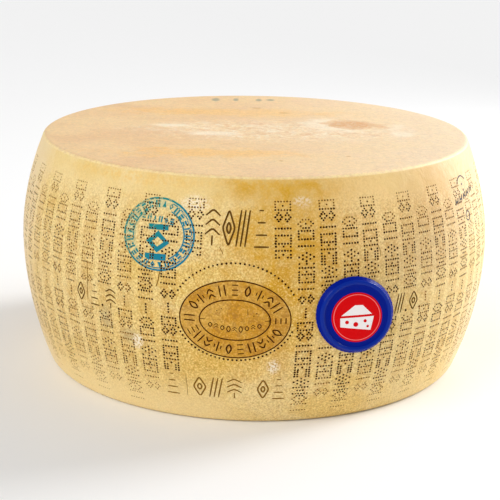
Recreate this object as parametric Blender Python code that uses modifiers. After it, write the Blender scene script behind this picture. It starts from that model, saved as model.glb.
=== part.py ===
"""An aged hard cheese wheel, as a standalone Blender script.

The wheel is one turned solid with bulging sides, a flat top and a flat foot, a little uneven as a
pressed cheese is. A ringed oval and rows of plain stroke marks are pressed into its rind. A slightly
oval moulded badge follows the rind beside them. Metres, +Z up, foot on z = 0, marked front at -Y.
"""

import math

import bmesh
import bpy
from mathutils import Vector, noise

# The turned wheel.
WHEEL_HEIGHT = 0.2124
WIDEST_RADIUS = 0.220
WIDEST_HEIGHT = 0.118
TOP_RADIUS = 0.1976
FOOT_RADIUS = 0.1969
UPPER_POWER = 1.82
LOWER_POWER = 2.07
RIM_ROUNDING = 0.0032
FOOT_ROUNDING = 0.0045
STEPS_ROUND = 100
SIDE_ROWS = 15
TOP_RINGS = 6
CORNER_ROWS = 4

# Unevenness of the pressed curd. It fades out above the foot, which stays flat and round.
SWELL = 0.0009
SWELL_SIZE = 0.085
SWELL_FADE = (0.004, 0.035)
TOP_SAG = 0.0010
TOP_SAG_SIZE = 0.11
TOP_SAG_FADE_START = 0.8

# Pressed marks. Angles go round the wheel from the front, in degrees, towards +X.
STROKE_WIDTH = 0.0017
SMALL_STROKE_SHARE = 0.8
STROKE_SINK = 0.0001
STROKE_SIDES_RESOLUTION = 0
CORNER_CUT = 0.0024
CORNER_CUT_SHARE = 0.4
STROKE_STEP = 0.006

OVAL_ANGLE = -3.75
OVAL_HEIGHT = 0.0983
OVAL_HALF_WIDTH = 0.0455
OVAL_HALF_HEIGHT = 0.0335
INNER_OVAL_SHARE = 0.60
OVAL_POINTS = 48
INNER_OVAL_POINTS = 32
OVAL_LOZENGES = (-0.0135, 0.0, 0.0135)
OVAL_LOZENGE_SIZE = (0.0095, 0.0150)

TALL_MARKS = (
    (-10.6, -7.4, "wheat_ear"),
    (-6.8, -4.1, "nested_lozenges"),
    (-3.8, -0.9, "leaning_bars"),
    (0.0, 3.2, "stepped_bars"),
)
TALL_MARK_HEIGHTS = (0.159, 0.187)
FOOT_MARKS = (
    (-19.9, -16.8, "stepped_bars"),
    (-13.3, -10.3, "nested_lozenges"),
    (-9.6, -6.5, "leaning_bars"),
    (-5.5, -2.2, "wheat_ear"),
    (1.3, 4.0, "nested_lozenges"),
    (4.8, 7.6, "stepped_bars"),
)
FOOT_MARK_HEIGHTS = (0.0253, 0.0445)
WAIST_MARKS = (
    (-42.6, -40.1, "nested_lozenges"),
    (-38.4, -35.8, "stepped_bars"),
    (-33.9, -31.2, "wheat_ear"),
    (32.5, 34.9, "leaning_bars"),
    (36.4, 38.9, "nested_lozenges"),
)
WAIST_MARK_HEIGHTS = (0.0950, 0.1120)

# Each mark is drawn in a box 1 wide and 1 high. True closes the stroke into a loop.
MARK_STROKES = {
    "nested_lozenges": (
        (True, ((0.5, 1.0), (0.0, 0.5), (0.5, 0.0), (1.0, 0.5))),
        (True, ((0.5, 0.68), (0.3, 0.5), (0.5, 0.32), (0.7, 0.5))),
    ),
    "wheat_ear": (
        (False, ((0.0, 0.82), (0.5, 1.0), (1.0, 0.82))),
        (False, ((0.0, 0.56), (0.5, 0.74), (1.0, 0.56))),
        (False, ((0.0, 0.30), (0.5, 0.48), (1.0, 0.30))),
        (False, ((0.5, 0.0), (0.5, 0.28))),
    ),
    "leaning_bars": (
        (False, ((0.0, 0.0), (0.35, 1.0))),
        (False, ((0.325, 0.0), (0.675, 1.0))),
        (False, ((0.65, 0.0), (1.0, 1.0))),
    ),
    "stepped_bars": (
        (False, ((0.35, 1.0), (0.65, 1.0))),
        (False, ((0.23, 0.67), (0.77, 0.67))),
        (False, ((0.12, 0.33), (0.88, 0.33))),
        (False, ((0.0, 0.0), (1.0, 0.0))),
    ),
}

# The moulded badge.
BADGE_ANGLE = 22.6
BADGE_HEIGHT = 0.0990
BADGE_RADIUS = 0.0347
BADGE_OVALNESS = 0.077
BADGE_LONG_AXIS = -35
BADGE_FACE_RADIUS = 0.0276
BADGE_BEAD_RADIUS = 0.0301
BADGE_BEAD_HALF_WIDTH = 0.0020
BADGE_FACE_THICKNESS = 0.0026
BADGE_BEAD_THICKNESS = 0.0042
BADGE_BEAD_TURNS = (150, 120, 90, 60, 30)
BADGE_EDGE_THICKNESS = 0.0010
BADGE_EDGE_CHAMFER = 0.0006
BADGE_STEPS_ROUND = 72
BADGE_RINGS = 4
BADGE_GAP = 0.0004

MERGE_DISTANCE = 0.00005
SHARP_ANGLE = math.radians(35)


def clear_scene():
    for obj in list(bpy.data.objects):
        bpy.data.objects.remove(obj, do_unlink=True)


def new_collection(name):
    collection = bpy.data.collections.new(name)
    bpy.context.scene.collection.children.link(collection)
    return collection


def principled(name, colour, roughness):
    material = bpy.data.materials.new(name)
    material.use_nodes = True
    shader = material.node_tree.nodes["Principled BSDF"]
    shader.inputs["Base Color"].default_value = (*colour, 1.0)
    shader.inputs["Roughness"].default_value = roughness
    shader.inputs["Metallic"].default_value = 0.0
    return material


def smooth_step(value, low, high):
    share = min(max((value - low) / (high - low), 0.0), 1.0)
    return share * share * (3.0 - 2.0 * share)


def side_radius(height):
    """Radius of the turned side at a height above the foot."""
    if height >= WIDEST_HEIGHT:
        share = (height - WIDEST_HEIGHT) / (WHEEL_HEIGHT - WIDEST_HEIGHT)
        return WIDEST_RADIUS - (WIDEST_RADIUS - TOP_RADIUS) * share**UPPER_POWER
    share = (WIDEST_HEIGHT - height) / WIDEST_HEIGHT
    return WIDEST_RADIUS - (WIDEST_RADIUS - FOOT_RADIUS) * share**LOWER_POWER


def side_slope(height):
    """Change of the side's radius for each metre of height."""
    step = 0.0005
    low = max(height - step, 0.0)
    high = min(height + step, WHEEL_HEIGHT)
    return (side_radius(high) - side_radius(low)) / (high - low)


def swell(point):
    """How far the rind stands out from the turned shape at a point."""
    fade = smooth_step(point.z, *SWELL_FADE)
    return SWELL * fade * noise.noise(point / SWELL_SIZE)


def top_sag(point):
    """How far the top lies under the wheel's full height at a point."""
    return TOP_SAG * abs(noise.noise(point / TOP_SAG_SIZE))


def on_rind(angle, height, out=0.0):
    """Point on the uneven side, or `out` metres off it. The angle is in radians."""
    outwards = Vector((math.sin(angle), -math.cos(angle), 0.0))
    point = outwards * side_radius(height)
    point.z = height
    point += outwards * swell(point)
    normal = outwards - Vector((0.0, 0.0, side_slope(height)))
    return point + normal.normalized() * out


def corner(start, middle, end, rows):
    """Points of a rounded corner, from just after `start` up to `end`."""
    points = []
    for row in range(1, rows + 1):
        t = row / rows
        points.append(
            tuple(
                (1 - t) ** 2 * a + 2 * t * (1 - t) * b + t**2 * c
                for a, b, c in zip(start, middle, end)
            )
        )
    return points


def wheel_profile():
    """(radius, height) points from the middle of the top, down the outside, to the middle of the foot."""
    flat_top = TOP_RADIUS - RIM_ROUNDING
    points = [(flat_top * ring / TOP_RINGS, WHEEL_HEIGHT) for ring in range(TOP_RINGS + 1)]
    side_high = WHEEL_HEIGHT - RIM_ROUNDING
    side_low = FOOT_ROUNDING
    points += corner(
        (flat_top, WHEEL_HEIGHT),
        (TOP_RADIUS, WHEEL_HEIGHT),
        (side_radius(side_high), side_high),
        CORNER_ROWS,
    )
    for row in range(1, SIDE_ROWS):
        height = side_high + (side_low - side_high) * row / SIDE_ROWS
        points.append((side_radius(height), height))
    points.append((side_radius(side_low), side_low))
    flat_foot = FOOT_RADIUS - FOOT_ROUNDING
    points += corner(
        (side_radius(side_low), side_low),
        (FOOT_RADIUS, 0.0),
        (flat_foot, 0.0),
        CORNER_ROWS,
    )
    points += [(flat_foot / 2, 0.0), (0.0, 0.0)]
    return points


def turned(name, profile, steps, collection):
    """Mesh object turned from a profile by the Screw modifier, with the modifier applied."""
    mesh = bpy.data.meshes.new(name)
    vertices = [(radius, 0.0, height) for radius, height in profile]
    mesh.from_pydata(vertices, [(i, i + 1) for i in range(len(vertices) - 1)], [])
    outline = bpy.data.objects.new(name + "_outline", mesh)
    collection.objects.link(outline)
    screw = outline.modifiers.new("turn", "SCREW")
    screw.axis = "Z"
    screw.angle = math.tau
    screw.steps = steps
    screw.render_steps = steps
    screw.use_merge_vertices = True
    screw.merge_threshold = MERGE_DISTANCE
    graph = bpy.context.evaluated_depsgraph_get()
    solid = bpy.data.objects.new(
        name, bpy.data.meshes.new_from_object(outline.evaluated_get(graph))
    )
    solid.data.name = name
    bpy.data.objects.remove(outline, do_unlink=True)
    collection.objects.link(solid)
    return solid


def finish_smooth(obj, material):
    obj.data.materials.clear()
    obj.data.materials.append(material)
    obj.data.shade_smooth()
    obj.data.set_sharp_from_angle(angle=SHARP_ANGLE)


def make_wheel(collection):
    """The cheese, still without its marks: turned, then moved off the perfect shape."""
    wheel = turned("cheese_wheel", wheel_profile(), STEPS_ROUND, collection)
    flat_top = TOP_RADIUS - RIM_ROUNDING
    for vertex in wheel.data.vertices:
        point = vertex.co
        radius = math.hypot(point.x, point.y)
        if radius > flat_top + MERGE_DISTANCE or point.z < WIDEST_HEIGHT:
            if point.z > MERGE_DISTANCE:
                outwards = Vector((point.x, point.y, 0.0)).normalized()
                vertex.co = point + outwards * swell(point)
        else:
            inside = 1.0 - smooth_step(radius, flat_top * TOP_SAG_FADE_START, flat_top)
            vertex.co.z = point.z - top_sag(point) * inside
    finish_smooth(wheel, principled("rind", (0.80, 0.56, 0.22), 0.55))
    return wheel


def rounded_stroke(corners, closed):
    """The stroke's points in metres, with each inner corner cut to a short curve."""
    count = len(corners)
    points = []
    for i, here in enumerate(corners):
        if not closed and i in (0, count - 1):
            points.append(here)
            continue
        before = corners[i - 1]
        after = corners[(i + 1) % count]
        shortest = min((before - here).length, (after - here).length)
        cut = min(CORNER_CUT, shortest * CORNER_CUT_SHARE)
        enter = here + (before - here).normalized() * cut
        leave = here + (after - here).normalized() * cut
        points += [enter, (enter + leave) / 4 + here / 2, leave]
    return points


def divided(points, closed):
    """The same line with more points on its long runs, so that it can follow the curved rind."""
    found = []
    ends = list(zip(points, points[1:] + points[:1])) if closed else list(zip(points, points[1:]))
    for start, end in ends:
        parts = max(1, round((end - start).length / STROKE_STEP))
        found += [start.lerp(end, part / parts) for part in range(parts)]
    if not closed:
        found.append(points[-1])
    return found


def mark_lines(marks, heights, thickness):
    """(closed, thickness, points) for each stroke, with (angle, height) points on the rind."""
    low, high = heights
    radius = side_radius((low + high) / 2)
    lines = []
    for left, right, kind in marks:
        start = math.radians(left)
        width = math.radians(right - left) * radius
        for closed, corners in MARK_STROKES[kind]:
            flat = [Vector((x * width, z * (high - low))) for x, z in corners]
            points = divided(rounded_stroke(flat, closed), closed)
            spots = [(start + p.x / radius, low + p.y) for p in points]
            lines.append((closed, thickness, spots))
    return lines


def oval_lines():
    """The ringed oval and the row of lozenges inside it."""
    radius = side_radius(OVAL_HEIGHT)
    middle = math.radians(OVAL_ANGLE)
    lines = []
    for share, count in ((1.0, OVAL_POINTS), (INNER_OVAL_SHARE, INNER_OVAL_POINTS)):
        ring = []
        for i in range(count):
            turn = math.tau * i / count
            across = OVAL_HALF_WIDTH * share * math.cos(turn)
            up = OVAL_HALF_HEIGHT * share * math.sin(turn)
            ring.append((middle + across / radius, OVAL_HEIGHT + up))
        lines.append((True, 1.0, ring))
    wide, high = OVAL_LOZENGE_SIZE
    for shift in OVAL_LOZENGES:
        corners = [
            Vector((shift + wide / 2 * x, high / 2 * z))
            for x, z in ((0, 1), (-1, 0), (0, -1), (1, 0))
        ]
        points = divided(rounded_stroke(corners, True), True)
        spots = [(middle + p.x / radius, OVAL_HEIGHT + p.y) for p in points]
        lines.append((True, 1.0, spots))
    return lines


def make_stroke_cutter(collection):
    """One mesh of round tubes that lie half in the rind along every pressed line."""
    curve = bpy.data.curves.new("mark_strokes", "CURVE")
    curve.dimensions = "3D"
    curve.bevel_depth = STROKE_WIDTH / 2
    curve.bevel_resolution = STROKE_SIDES_RESOLUTION
    curve.use_fill_caps = True
    lines = oval_lines()
    lines += mark_lines(TALL_MARKS, TALL_MARK_HEIGHTS, 1.0)
    lines += mark_lines(FOOT_MARKS, FOOT_MARK_HEIGHTS, SMALL_STROKE_SHARE)
    lines += mark_lines(WAIST_MARKS, WAIST_MARK_HEIGHTS, SMALL_STROKE_SHARE)
    for closed, thickness, points in lines:
        spline = curve.splines.new("POLY")
        spline.points.add(len(points) - 1)
        for spot, (angle, height) in zip(spline.points, points):
            spot.co = (*on_rind(angle, height, -STROKE_SINK), 1.0)
            spot.radius = thickness
        spline.use_cyclic_u = closed
    guide = bpy.data.objects.new("mark_strokes_guide", curve)
    collection.objects.link(guide)
    graph = bpy.context.evaluated_depsgraph_get()
    mesh = bpy.data.meshes.new_from_object(guide.evaluated_get(graph))
    shape = bmesh.new()
    shape.from_mesh(mesh)
    bmesh.ops.remove_doubles(shape, verts=shape.verts, dist=MERGE_DISTANCE)
    bmesh.ops.recalc_face_normals(shape, faces=shape.faces)
    shape.to_mesh(mesh)
    shape.free()
    cutter = bpy.data.objects.new("mark_strokes", mesh)
    cutter.matrix_world = guide.matrix_world
    bpy.data.objects.remove(guide, do_unlink=True)
    collection.objects.link(cutter)
    cutter.hide_render = True
    cutter.display_type = "WIRE"
    return cutter


def badge_profile():
    """(radius, thickness) points from the middle of the face, over bead and edge, to the back."""
    inner = BADGE_FACE_RADIUS
    points = [(inner * ring / BADGE_RINGS, BADGE_FACE_THICKNESS) for ring in range(BADGE_RINGS + 1)]
    rise = BADGE_BEAD_THICKNESS - BADGE_FACE_THICKNESS
    for turn in BADGE_BEAD_TURNS:
        across = BADGE_BEAD_HALF_WIDTH * math.cos(math.radians(turn))
        up = rise * math.sin(math.radians(turn))
        points.append((BADGE_BEAD_RADIUS + across, BADGE_FACE_THICKNESS + up))
    points.append((BADGE_RADIUS - BADGE_EDGE_CHAMFER, BADGE_EDGE_THICKNESS + BADGE_EDGE_CHAMFER))
    points.append((BADGE_RADIUS, BADGE_EDGE_THICKNESS))
    points.append((BADGE_RADIUS, 0.0))
    points += [(inner * ring / BADGE_RINGS, 0.0) for ring in range(BADGE_RINGS, -1, -1)]
    return points


def make_badge(collection):
    """The badge, turned flat, made slightly oval and then laid round the rind with a small gap behind."""
    badge = turned("seal_badge", badge_profile(), BADGE_STEPS_ROUND, collection)
    radius = side_radius(BADGE_HEIGHT)
    middle = math.radians(BADGE_ANGLE)
    long_axis = Vector((math.cos(math.radians(BADGE_LONG_AXIS)), math.sin(math.radians(BADGE_LONG_AXIS))))
    for vertex in badge.data.vertices:
        flat = vertex.co.xy * (1 - BADGE_OVALNESS)
        flat += long_axis * long_axis.dot(flat) * 2 * BADGE_OVALNESS
        vertex.co = on_rind(middle + flat.x / radius, BADGE_HEIGHT + flat.y, BADGE_GAP + vertex.co.z)
    finish_smooth(badge, principled("badge_blue", (0.005, 0.02, 0.30), 0.25))
    return badge


def main():
    clear_scene()
    parts = new_collection("parmesan_wheel")
    cutters = new_collection("mark_cutters")
    wheel = make_wheel(parts)
    make_badge(parts)
    press = wheel.modifiers.new("pressed_marks", "BOOLEAN")
    press.operation = "DIFFERENCE"
    press.solver = "EXACT"
    press.object = make_stroke_cutter(cutters)


main()
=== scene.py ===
"""Dresses the aged cheese wheel: its rind with pin pricks and pressed marks, the ink on it and the badge."""

import functools
import math
import random

import bmesh
import bpy
from bpy.props import FloatProperty, FloatVectorProperty, IntProperty, PointerProperty
from bpy.types import Operator, Panel, PropertyGroup
from mathutils import Matrix, Vector, noise
from mathutils.bvhtree import BVHTree
from mathutils.geometry import delaunay_2d_cdt
from mathutils.interpolate import poly_3d_calc


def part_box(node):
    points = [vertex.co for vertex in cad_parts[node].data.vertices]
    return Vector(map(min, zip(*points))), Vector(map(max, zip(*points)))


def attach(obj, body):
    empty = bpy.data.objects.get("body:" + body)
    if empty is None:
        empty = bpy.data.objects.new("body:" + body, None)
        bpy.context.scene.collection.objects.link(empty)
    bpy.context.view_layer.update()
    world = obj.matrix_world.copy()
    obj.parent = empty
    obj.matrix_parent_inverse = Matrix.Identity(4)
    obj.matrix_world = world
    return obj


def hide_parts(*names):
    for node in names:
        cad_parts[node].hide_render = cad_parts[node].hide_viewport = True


bl_info = {
    "name": "Aged Cheese Wheel",
    "version": (1, 0, 0),
    "blender": (4, 5, 0),
    "location": "3D View > Sidebar > Cheese",
    "description": "Builds the rind, marks, ink and badge of an aged cheese wheel",
    "category": "Add Mesh",
}

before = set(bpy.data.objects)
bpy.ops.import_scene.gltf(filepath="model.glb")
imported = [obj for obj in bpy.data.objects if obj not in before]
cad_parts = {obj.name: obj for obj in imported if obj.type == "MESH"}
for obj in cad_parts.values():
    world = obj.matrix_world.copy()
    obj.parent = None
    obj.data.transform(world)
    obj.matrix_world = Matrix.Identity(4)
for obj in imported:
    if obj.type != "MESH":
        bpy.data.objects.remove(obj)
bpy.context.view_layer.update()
WHEEL_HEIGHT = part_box("cheese_wheel")[1][2]
BODY = "root"
MERGE_DISTANCE = 0.00005


def srgb(red, green, blue):
    """Linear colour of an 8-bit screen colour."""
    shares = (value / 255 for value in (red, green, blue))
    return tuple(s / 12.92 if s <= 0.04045 else ((s + 0.055) / 1.055) ** 2.4 for s in shares)


def number(name, description, default, **more):
    return FloatProperty(name=name, description=description, default=default, **more)


def length(name, description, default):
    return number(name, description, default, unit="LENGTH", precision=5)


def turn(name, description, degrees):
    return number(name, description, math.radians(degrees), subtype="ANGLE")


def whole(name, description, default):
    return IntProperty(name=name, description=description, default=default)


def colour(name, description, *parts):
    """Colour property with its default as 8-bit screen values."""
    named = {"name": name, "description": description, "subtype": "COLOR"}
    return FloatVectorProperty(default=srgb(*parts), min=0.0, max=1.0, **named)


class WheelShape(PropertyGroup):
    """The turned wheel and its unevenness."""

    height: length("Height", "Height of the wheel", WHEEL_HEIGHT)
    widest_radius: length("Widest radius", "Radius where the side bulges most", 0.220)
    widest_height: length("Widest height", "Height of the widest place", 0.118)
    top_radius: length("Top radius", "Radius of the top face", 0.1976)
    foot_radius: length("Foot radius", "Radius of the foot", 0.1969)
    upper_power: number("Upper power", "Curve of the upper side", 1.82)
    lower_power: number("Lower power", "Curve of the lower side", 2.07)
    rim_rounding: length("Rim rounding", "Size of the rounded upper edge", 0.0032)
    foot_rounding: length("Foot rounding", "Size of the rounded lower edge", 0.0045)
    swell: length("Swell", "Largest unevenness of the side", 0.0009)
    swell_size: length("Swell size", "Size of the side's unevenness", 0.085)
    top_sag: length("Top sag", "Largest hollow of the top", 0.0010)
    top_sag_size: length("Top sag size", "Size of the top's unevenness", 0.11)
    steps_round: whole("Steps", "Facets round the wheel", 120)
    side_rows: whole("Side rows", "Rows of facets up the side", 18)
    top_rings: whole("Top rings", "Rings of facets on the top", 8)


class PrickPattern(PropertyGroup):
    """The columns of pin pricks that the mould presses into the side."""

    width: length("Width", "Width of a prick at the surface", 0.00232)
    depth: length("Depth", "Depth of a prick", 0.0014)
    rise: length("Rise", "How far the cutting cones reach out of the rind", 0.00015)
    faint_below: number("Faint below", "Strength under which a prick is faint", 0.86)
    faint_share: number("Faint share", "Size of a faint prick", 1.10)
    pitch: length("Pitch", "Distance between pricks across a column", 0.00242)
    row_pitch: length("Row pitch", "Distance between pricks up a column", 0.00213)
    border_pitch: length("Border pitch", "Distance between the pricks round the oval", 0.0037)
    border_share: number("Border share", "Size of those pricks", 1.05)
    motif_width: length("Motif width", "Width of a column of motifs", 0.0121)
    motif_height: length("Motif height", "Height of one motif", 0.0064)
    motif_step: length("Motif step", "Distance from one motif to the next", 0.0086)
    high_top: length("High top", "Upper end of every other column", 0.196)
    low_top: length("Low top", "Upper end of the columns between", 0.182)
    dash_gap: length("Dash gap", "Gap between the two rows of motifs in a column", 0.015)
    left_start: turn("Left start", "Angle of the first column left of the bare field", -12.9)
    left_step: turn("Left step", "Angle from column to column on the left", 5.31)
    left_columns: whole("Left columns", "Columns on the left half", 32)
    right_start: turn("Right start", "Angle of the first column right of the bare field", 6.2)
    right_step: turn("Right step", "Angle from column to column on the right", 5.03)
    right_columns: whole("Right columns", "Columns on the right half", 35)
    seed: whole("Seed", "Seed of the small irregularities", 11)


class PressedMarks(PropertyGroup):
    """The ringed oval and the stroke marks."""

    oval_angle: turn("Oval angle", "Place of the ringed oval round the side", -3.75)
    oval_height: length("Oval height", "Height of the oval's middle", 0.0983)
    oval_half_width: length("Oval half width", "Half the width of the oval", 0.0455)
    oval_half_height: length("Oval half height", "Half the height of the oval", 0.0335)
    inner_share: number("Inner share", "Size of the inner ring", 0.60)
    ring_width: length("Ring width", "Width of the oval's lines", 0.00115)
    tall_width: length("Tall stroke width", "Width of the tall marks' strokes", 0.0017)
    small_width: length("Small stroke width", "Width of the smaller marks' strokes", 0.0015)


class RindColours(PropertyGroup):
    """Colours of the cheese."""

    gold: colour("Gold", "Main colour of the side", 227, 190, 103)
    pale: colour("Pale", "Paler side rind", 235, 206, 140)
    ochre: colour("Ochre", "Oily darker patches", 214, 159, 8)
    grain: colour("Grain", "Fine light grain", 255, 232, 160)
    shadow_grain: colour("Dark grain", "Fine dark grain", 188, 136, 50)
    deep_grain: colour("Deep grain", "Darkest fine grain of the side", 192, 138, 14)
    toast: colour("Toast", "Browned field of the oval", 203, 143, 4)
    tan: colour("Side tan", "Pinker places of the side", 204, 168, 118)
    top: colour("Top", "Main colour of the top", 241, 206, 155)
    top_blush: colour("Blush", "Pinker places of the top", 232, 190, 142)
    top_warm: colour("Warm", "Yellower bands of the top", 244, 196, 124)
    # The pale smears on the top. The same colour also paints light over the right of the top.
    top_smear_and_glare: colour("Streak", "Pale smears on the top", 252, 234, 204)
    top_tan: colour("Tan", "Darker patch on the top", 222, 170, 118)
    # The prick colours are painted shade inside the pits, along with darker residue there. The faint ones
    # get less.
    prick: colour("Prick", "Inside of a pin prick", 72, 32, 0)
    faint_prick: colour("Faint prick", "Inside of a faint pin prick", 146, 102, 38)
    scorch: colour("Scorch", "Bottom of the oval's burnt strokes", 84, 42, 0)
    # Pressed and shallow: the darker groove bottoms are partly painted shade and partly darker rind.
    pressed: colour("Pressed", "Bottom of the tall strokes", 116, 80, 24)
    shallow: colour("Shallow", "Bottom of the lighter strokes", 154, 114, 42)
    edge_gold: colour("Edge gold", "Golden stains along the upper edge", 228, 172, 26)
    # Painted shade: darkens the upper right, which the lamps would otherwise light too brightly.
    painted_shade_shoulder: colour("Shoulder", "Darker place high on the right", 216, 170, 98)
    cream: colour("Cream", "Paler place over the badge", 248, 210, 142)
    burnt: colour("Burnt", "Darker flecks in the oval", 152, 92, 10)
    chalk: colour("Chalk", "Small chalky smears", 250, 236, 214)
    # At the lower end this paleness is painted light that lifts the shade near the floor.
    end: colour("End", "Paler upper and lower ends of the side", 250, 224, 166)
    oily: colour("Oily", "Warm grain round the upper marks", 216, 160, 6)
    # Far: the paler far left and far right are partly the rind's own colour and partly painted sheen of
    # grazing light.
    far: colour("Far", "Dusty far left and far right", 236, 212, 172)
    # Rim: the pale line round the upper edge is partly wear and partly a painted highlight on the rounded
    # edge.
    rim: colour("Rim", "Worn pale line round the upper edge", 255, 232, 166)


class InkSettings(PropertyGroup):
    """The ring stamp and the smaller ink marks."""

    stamp_angle: turn("Stamp angle", "Place of the ring stamp round the side", -21.2)
    stamp_height: length("Stamp height", "Height of the stamp's middle", 0.1635)
    stamp_radius: length("Stamp radius", "Radius of the stamp's outer line", 0.0292)
    line: length("Line", "Width of the stamp's lines", 0.0015)
    lift: length("Lift", "Thickness of the ink over the rind", 0.00008)
    stretch: number("Stretch", "Width of the stamp for its height", 1.08)
    teal: colour("Teal", "Faded side of the stamp", 0, 132, 126)
    blue: colour("Blue", "Fresh side of the stamp", 0, 124, 154)
    wash: colour("Wash", "Ink soaked into the rind", 104, 172, 148)
    blot: colour("Blot", "Smudged ink on the top", 104, 134, 122)
    smudge: colour("Smudge", "Greyish smudges on the side", 140, 146, 128)
    dark: colour("Dark", "Ink of the mark near the right edge", 36, 28, 22)
    edge_angle: turn("Edge angle", "Place of the dark mark round the side", 60.4)
    edge_height: length("Edge height", "Height of the dark mark", 0.180)


class BadgeSettings(PropertyGroup):
    """The moulded badge."""

    angle: turn("Angle", "Place of the badge round the side", 22.6)
    height: length("Height", "Height of the badge's middle", 0.0990)
    radius: length("Radius", "Radius of the badge", 0.0347)
    ovalness: number("Ovalness", "How far it is from round", 0.077)
    long_axis: turn("Long axis", "Direction in which it is longest", -35)
    face_radius: length("Face radius", "Radius of the flat face", 0.0276)
    bead_radius: length("Bead radius", "Radius of the raised bead", 0.0301)
    bead_half_width: length("Bead half width", "Half the width of the bead", 0.0020)
    face_thickness: length("Face thickness", "Thickness under the face", 0.0026)
    bead_thickness: length("Bead thickness", "Thickness under the bead", 0.0042)
    edge_thickness: length("Edge thickness", "Thickness at the outer edge", 0.0010)
    gap: length("Gap", "Gap behind the badge", 0.0004)
    blue: colour("Blue", "Moulded blue", 0, 27, 138)
    # Bead: its lighter blue is a painted highlight on the raised ring.
    bead: colour("Bead", "Shinier raised bead", 0, 40, 148)
    red: colour("Red", "Printed field", 222, 0, 6)
    white: colour("White", "Printed white", 250, 244, 242)
    # Pink: the thin ring on the red field is a painted highlight.
    pink: colour("Pink", "Thin printed line", 255, 120, 120)


class StageSettings(PropertyGroup):
    """Camera, lights and floor."""

    lens: number("Lens", "Focal length in millimetres", 91.41)
    distance: length("Distance", "Camera's distance in front of the wheel's axis", 1.1837)
    eye_height: length("Eye height", "Camera's height over the floor", 0.4394)
    pitch: turn("Pitch", "How far the camera looks down", 16.28)
    roll: turn("Roll", "Turn of the camera about its view", 0.98)
    yaw: turn("Yaw", "Turn of the camera to the left", 0.177)
    floor: number("Floor", "Brightness of the floor", 0.92)
    world: number("World", "Strength of the even light", 0.5)
    left_light: number("Left light", "Strength of the left light", 1.4)
    right_light: number("Right light", "Strength of the right light", 1.5)
    side_light: number("Side light", "Watts of the near right light", 12.0)


SETTINGS = {
    "shape": WheelShape,
    "pricks": PrickPattern,
    "marks": PressedMarks,
    "colours": RindColours,
    "ink": InkSettings,
    "badge": BadgeSettings,
    "stage": StageSettings,
}


class Signal:
    """One output of a node, so that node maths reads as an expression."""

    def __init__(self, wiring, socket):
        self.wiring = wiring
        self.socket = socket

    def math(self, operation, *others):
        values = dict(enumerate((self, *others)))
        return self.wiring.node("ShaderNodeMath", {"operation": operation}, values)

    def __add__(self, other):
        return self.math("ADD", other)

    def __radd__(self, other):
        return self.math("ADD", other)

    def __sub__(self, other):
        return self.math("SUBTRACT", other)

    def __rsub__(self, other):
        return self.wiring.node("ShaderNodeMath", {"operation": "SUBTRACT"}, {0: other, 1: self})

    def __mul__(self, other):
        return self.math("MULTIPLY", other)

    def __rmul__(self, other):
        return self.math("MULTIPLY", other)

    def __truediv__(self, other):
        return self.math("DIVIDE", other)

    def __neg__(self):
        return self.math("MULTIPLY", -1.0)

    def most(self, other):
        return self.math("MAXIMUM", other)


class Wiring:
    """Adds and links the nodes of one tree."""

    def __init__(self, tree):
        self.tree = tree

    def node(self, kind, options=None, inputs=None, output=0):
        """Adds a node with its settings and its inputs' values or links. Gives one of its outputs."""
        made = self.tree.nodes.new(kind)
        for name, value in (options or {}).items():
            setattr(made, name, value)
        for key, value in (inputs or {}).items():
            self.put(made.inputs[key], value)
        return Signal(self, made.outputs[output])

    def put(self, socket, value):
        if isinstance(value, Signal):
            self.tree.links.new(value.socket, socket)
        else:
            socket.default_value = value


class Sheet(Wiring):
    """A new material's nodes, with the Principled shader that they feed."""

    def __init__(self, name):
        self.material = bpy.data.materials.new(name)
        self.material.use_nodes = True
        super().__init__(self.material.node_tree)
        self.shader = self.tree.nodes["Principled BSDF"]
        self.place = self.node("ShaderNodeTexCoord", output="Object")

    def axes(self):
        parts = self.node("ShaderNodeSeparateXYZ", inputs={0: self.place}).socket.node
        return [Signal(self, parts.outputs[i]) for i in range(3)]

    def noise(self, size, detail=2.0, roughness=0.5, distortion=0.0):
        """Noise with features of about this size in metres, from 0 to 1."""
        values = {"Vector": self.place, "Scale": 1.0 / size, "Detail": detail}
        values |= {"Roughness": roughness, "Distortion": distortion}
        return self.node("ShaderNodeTexNoise", inputs=values)

    def smooth(self, value, low, high):
        """0 below `low`, 1 above `high` and a smooth rise between."""
        values = {"Value": value, "From Min": low, "From Max": high}
        return self.node("ShaderNodeMapRange", {"interpolation_type": "SMOOTHSTEP"}, values)

    def mix(self, first, second, share):
        """The first colour with this share of the second laid over it."""
        opaque = [c if isinstance(c, Signal) else (*c, 1.0) for c in (first, second)]
        values = {0: share, 6: opaque[0], 7: opaque[1]}
        return self.node("ShaderNodeMix", {"data_type": "RGBA"}, values, 2)

    def scaled(self, tint, share):
        """The colour made lighter or darker."""
        return self.node("ShaderNodeVectorMath", {"operation": "SCALE"}, {0: tint, 3: share})

    def bump(self, height, strength, distance, under=None):
        values = {"Height": height, "Strength": strength, "Distance": distance}
        if under:
            values["Normal"] = under
        return self.node("ShaderNodeBump", inputs=values)

    def finish(self, **sockets):
        """Sets or links the shader's sockets, named with underscores for spaces."""
        for name, value in sockets.items():
            if "Color" in name and not isinstance(value, Signal):
                value = (*value, 1.0)
            self.put(self.shader.inputs[name.replace("_", " ")], value)
        return self.material


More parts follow.
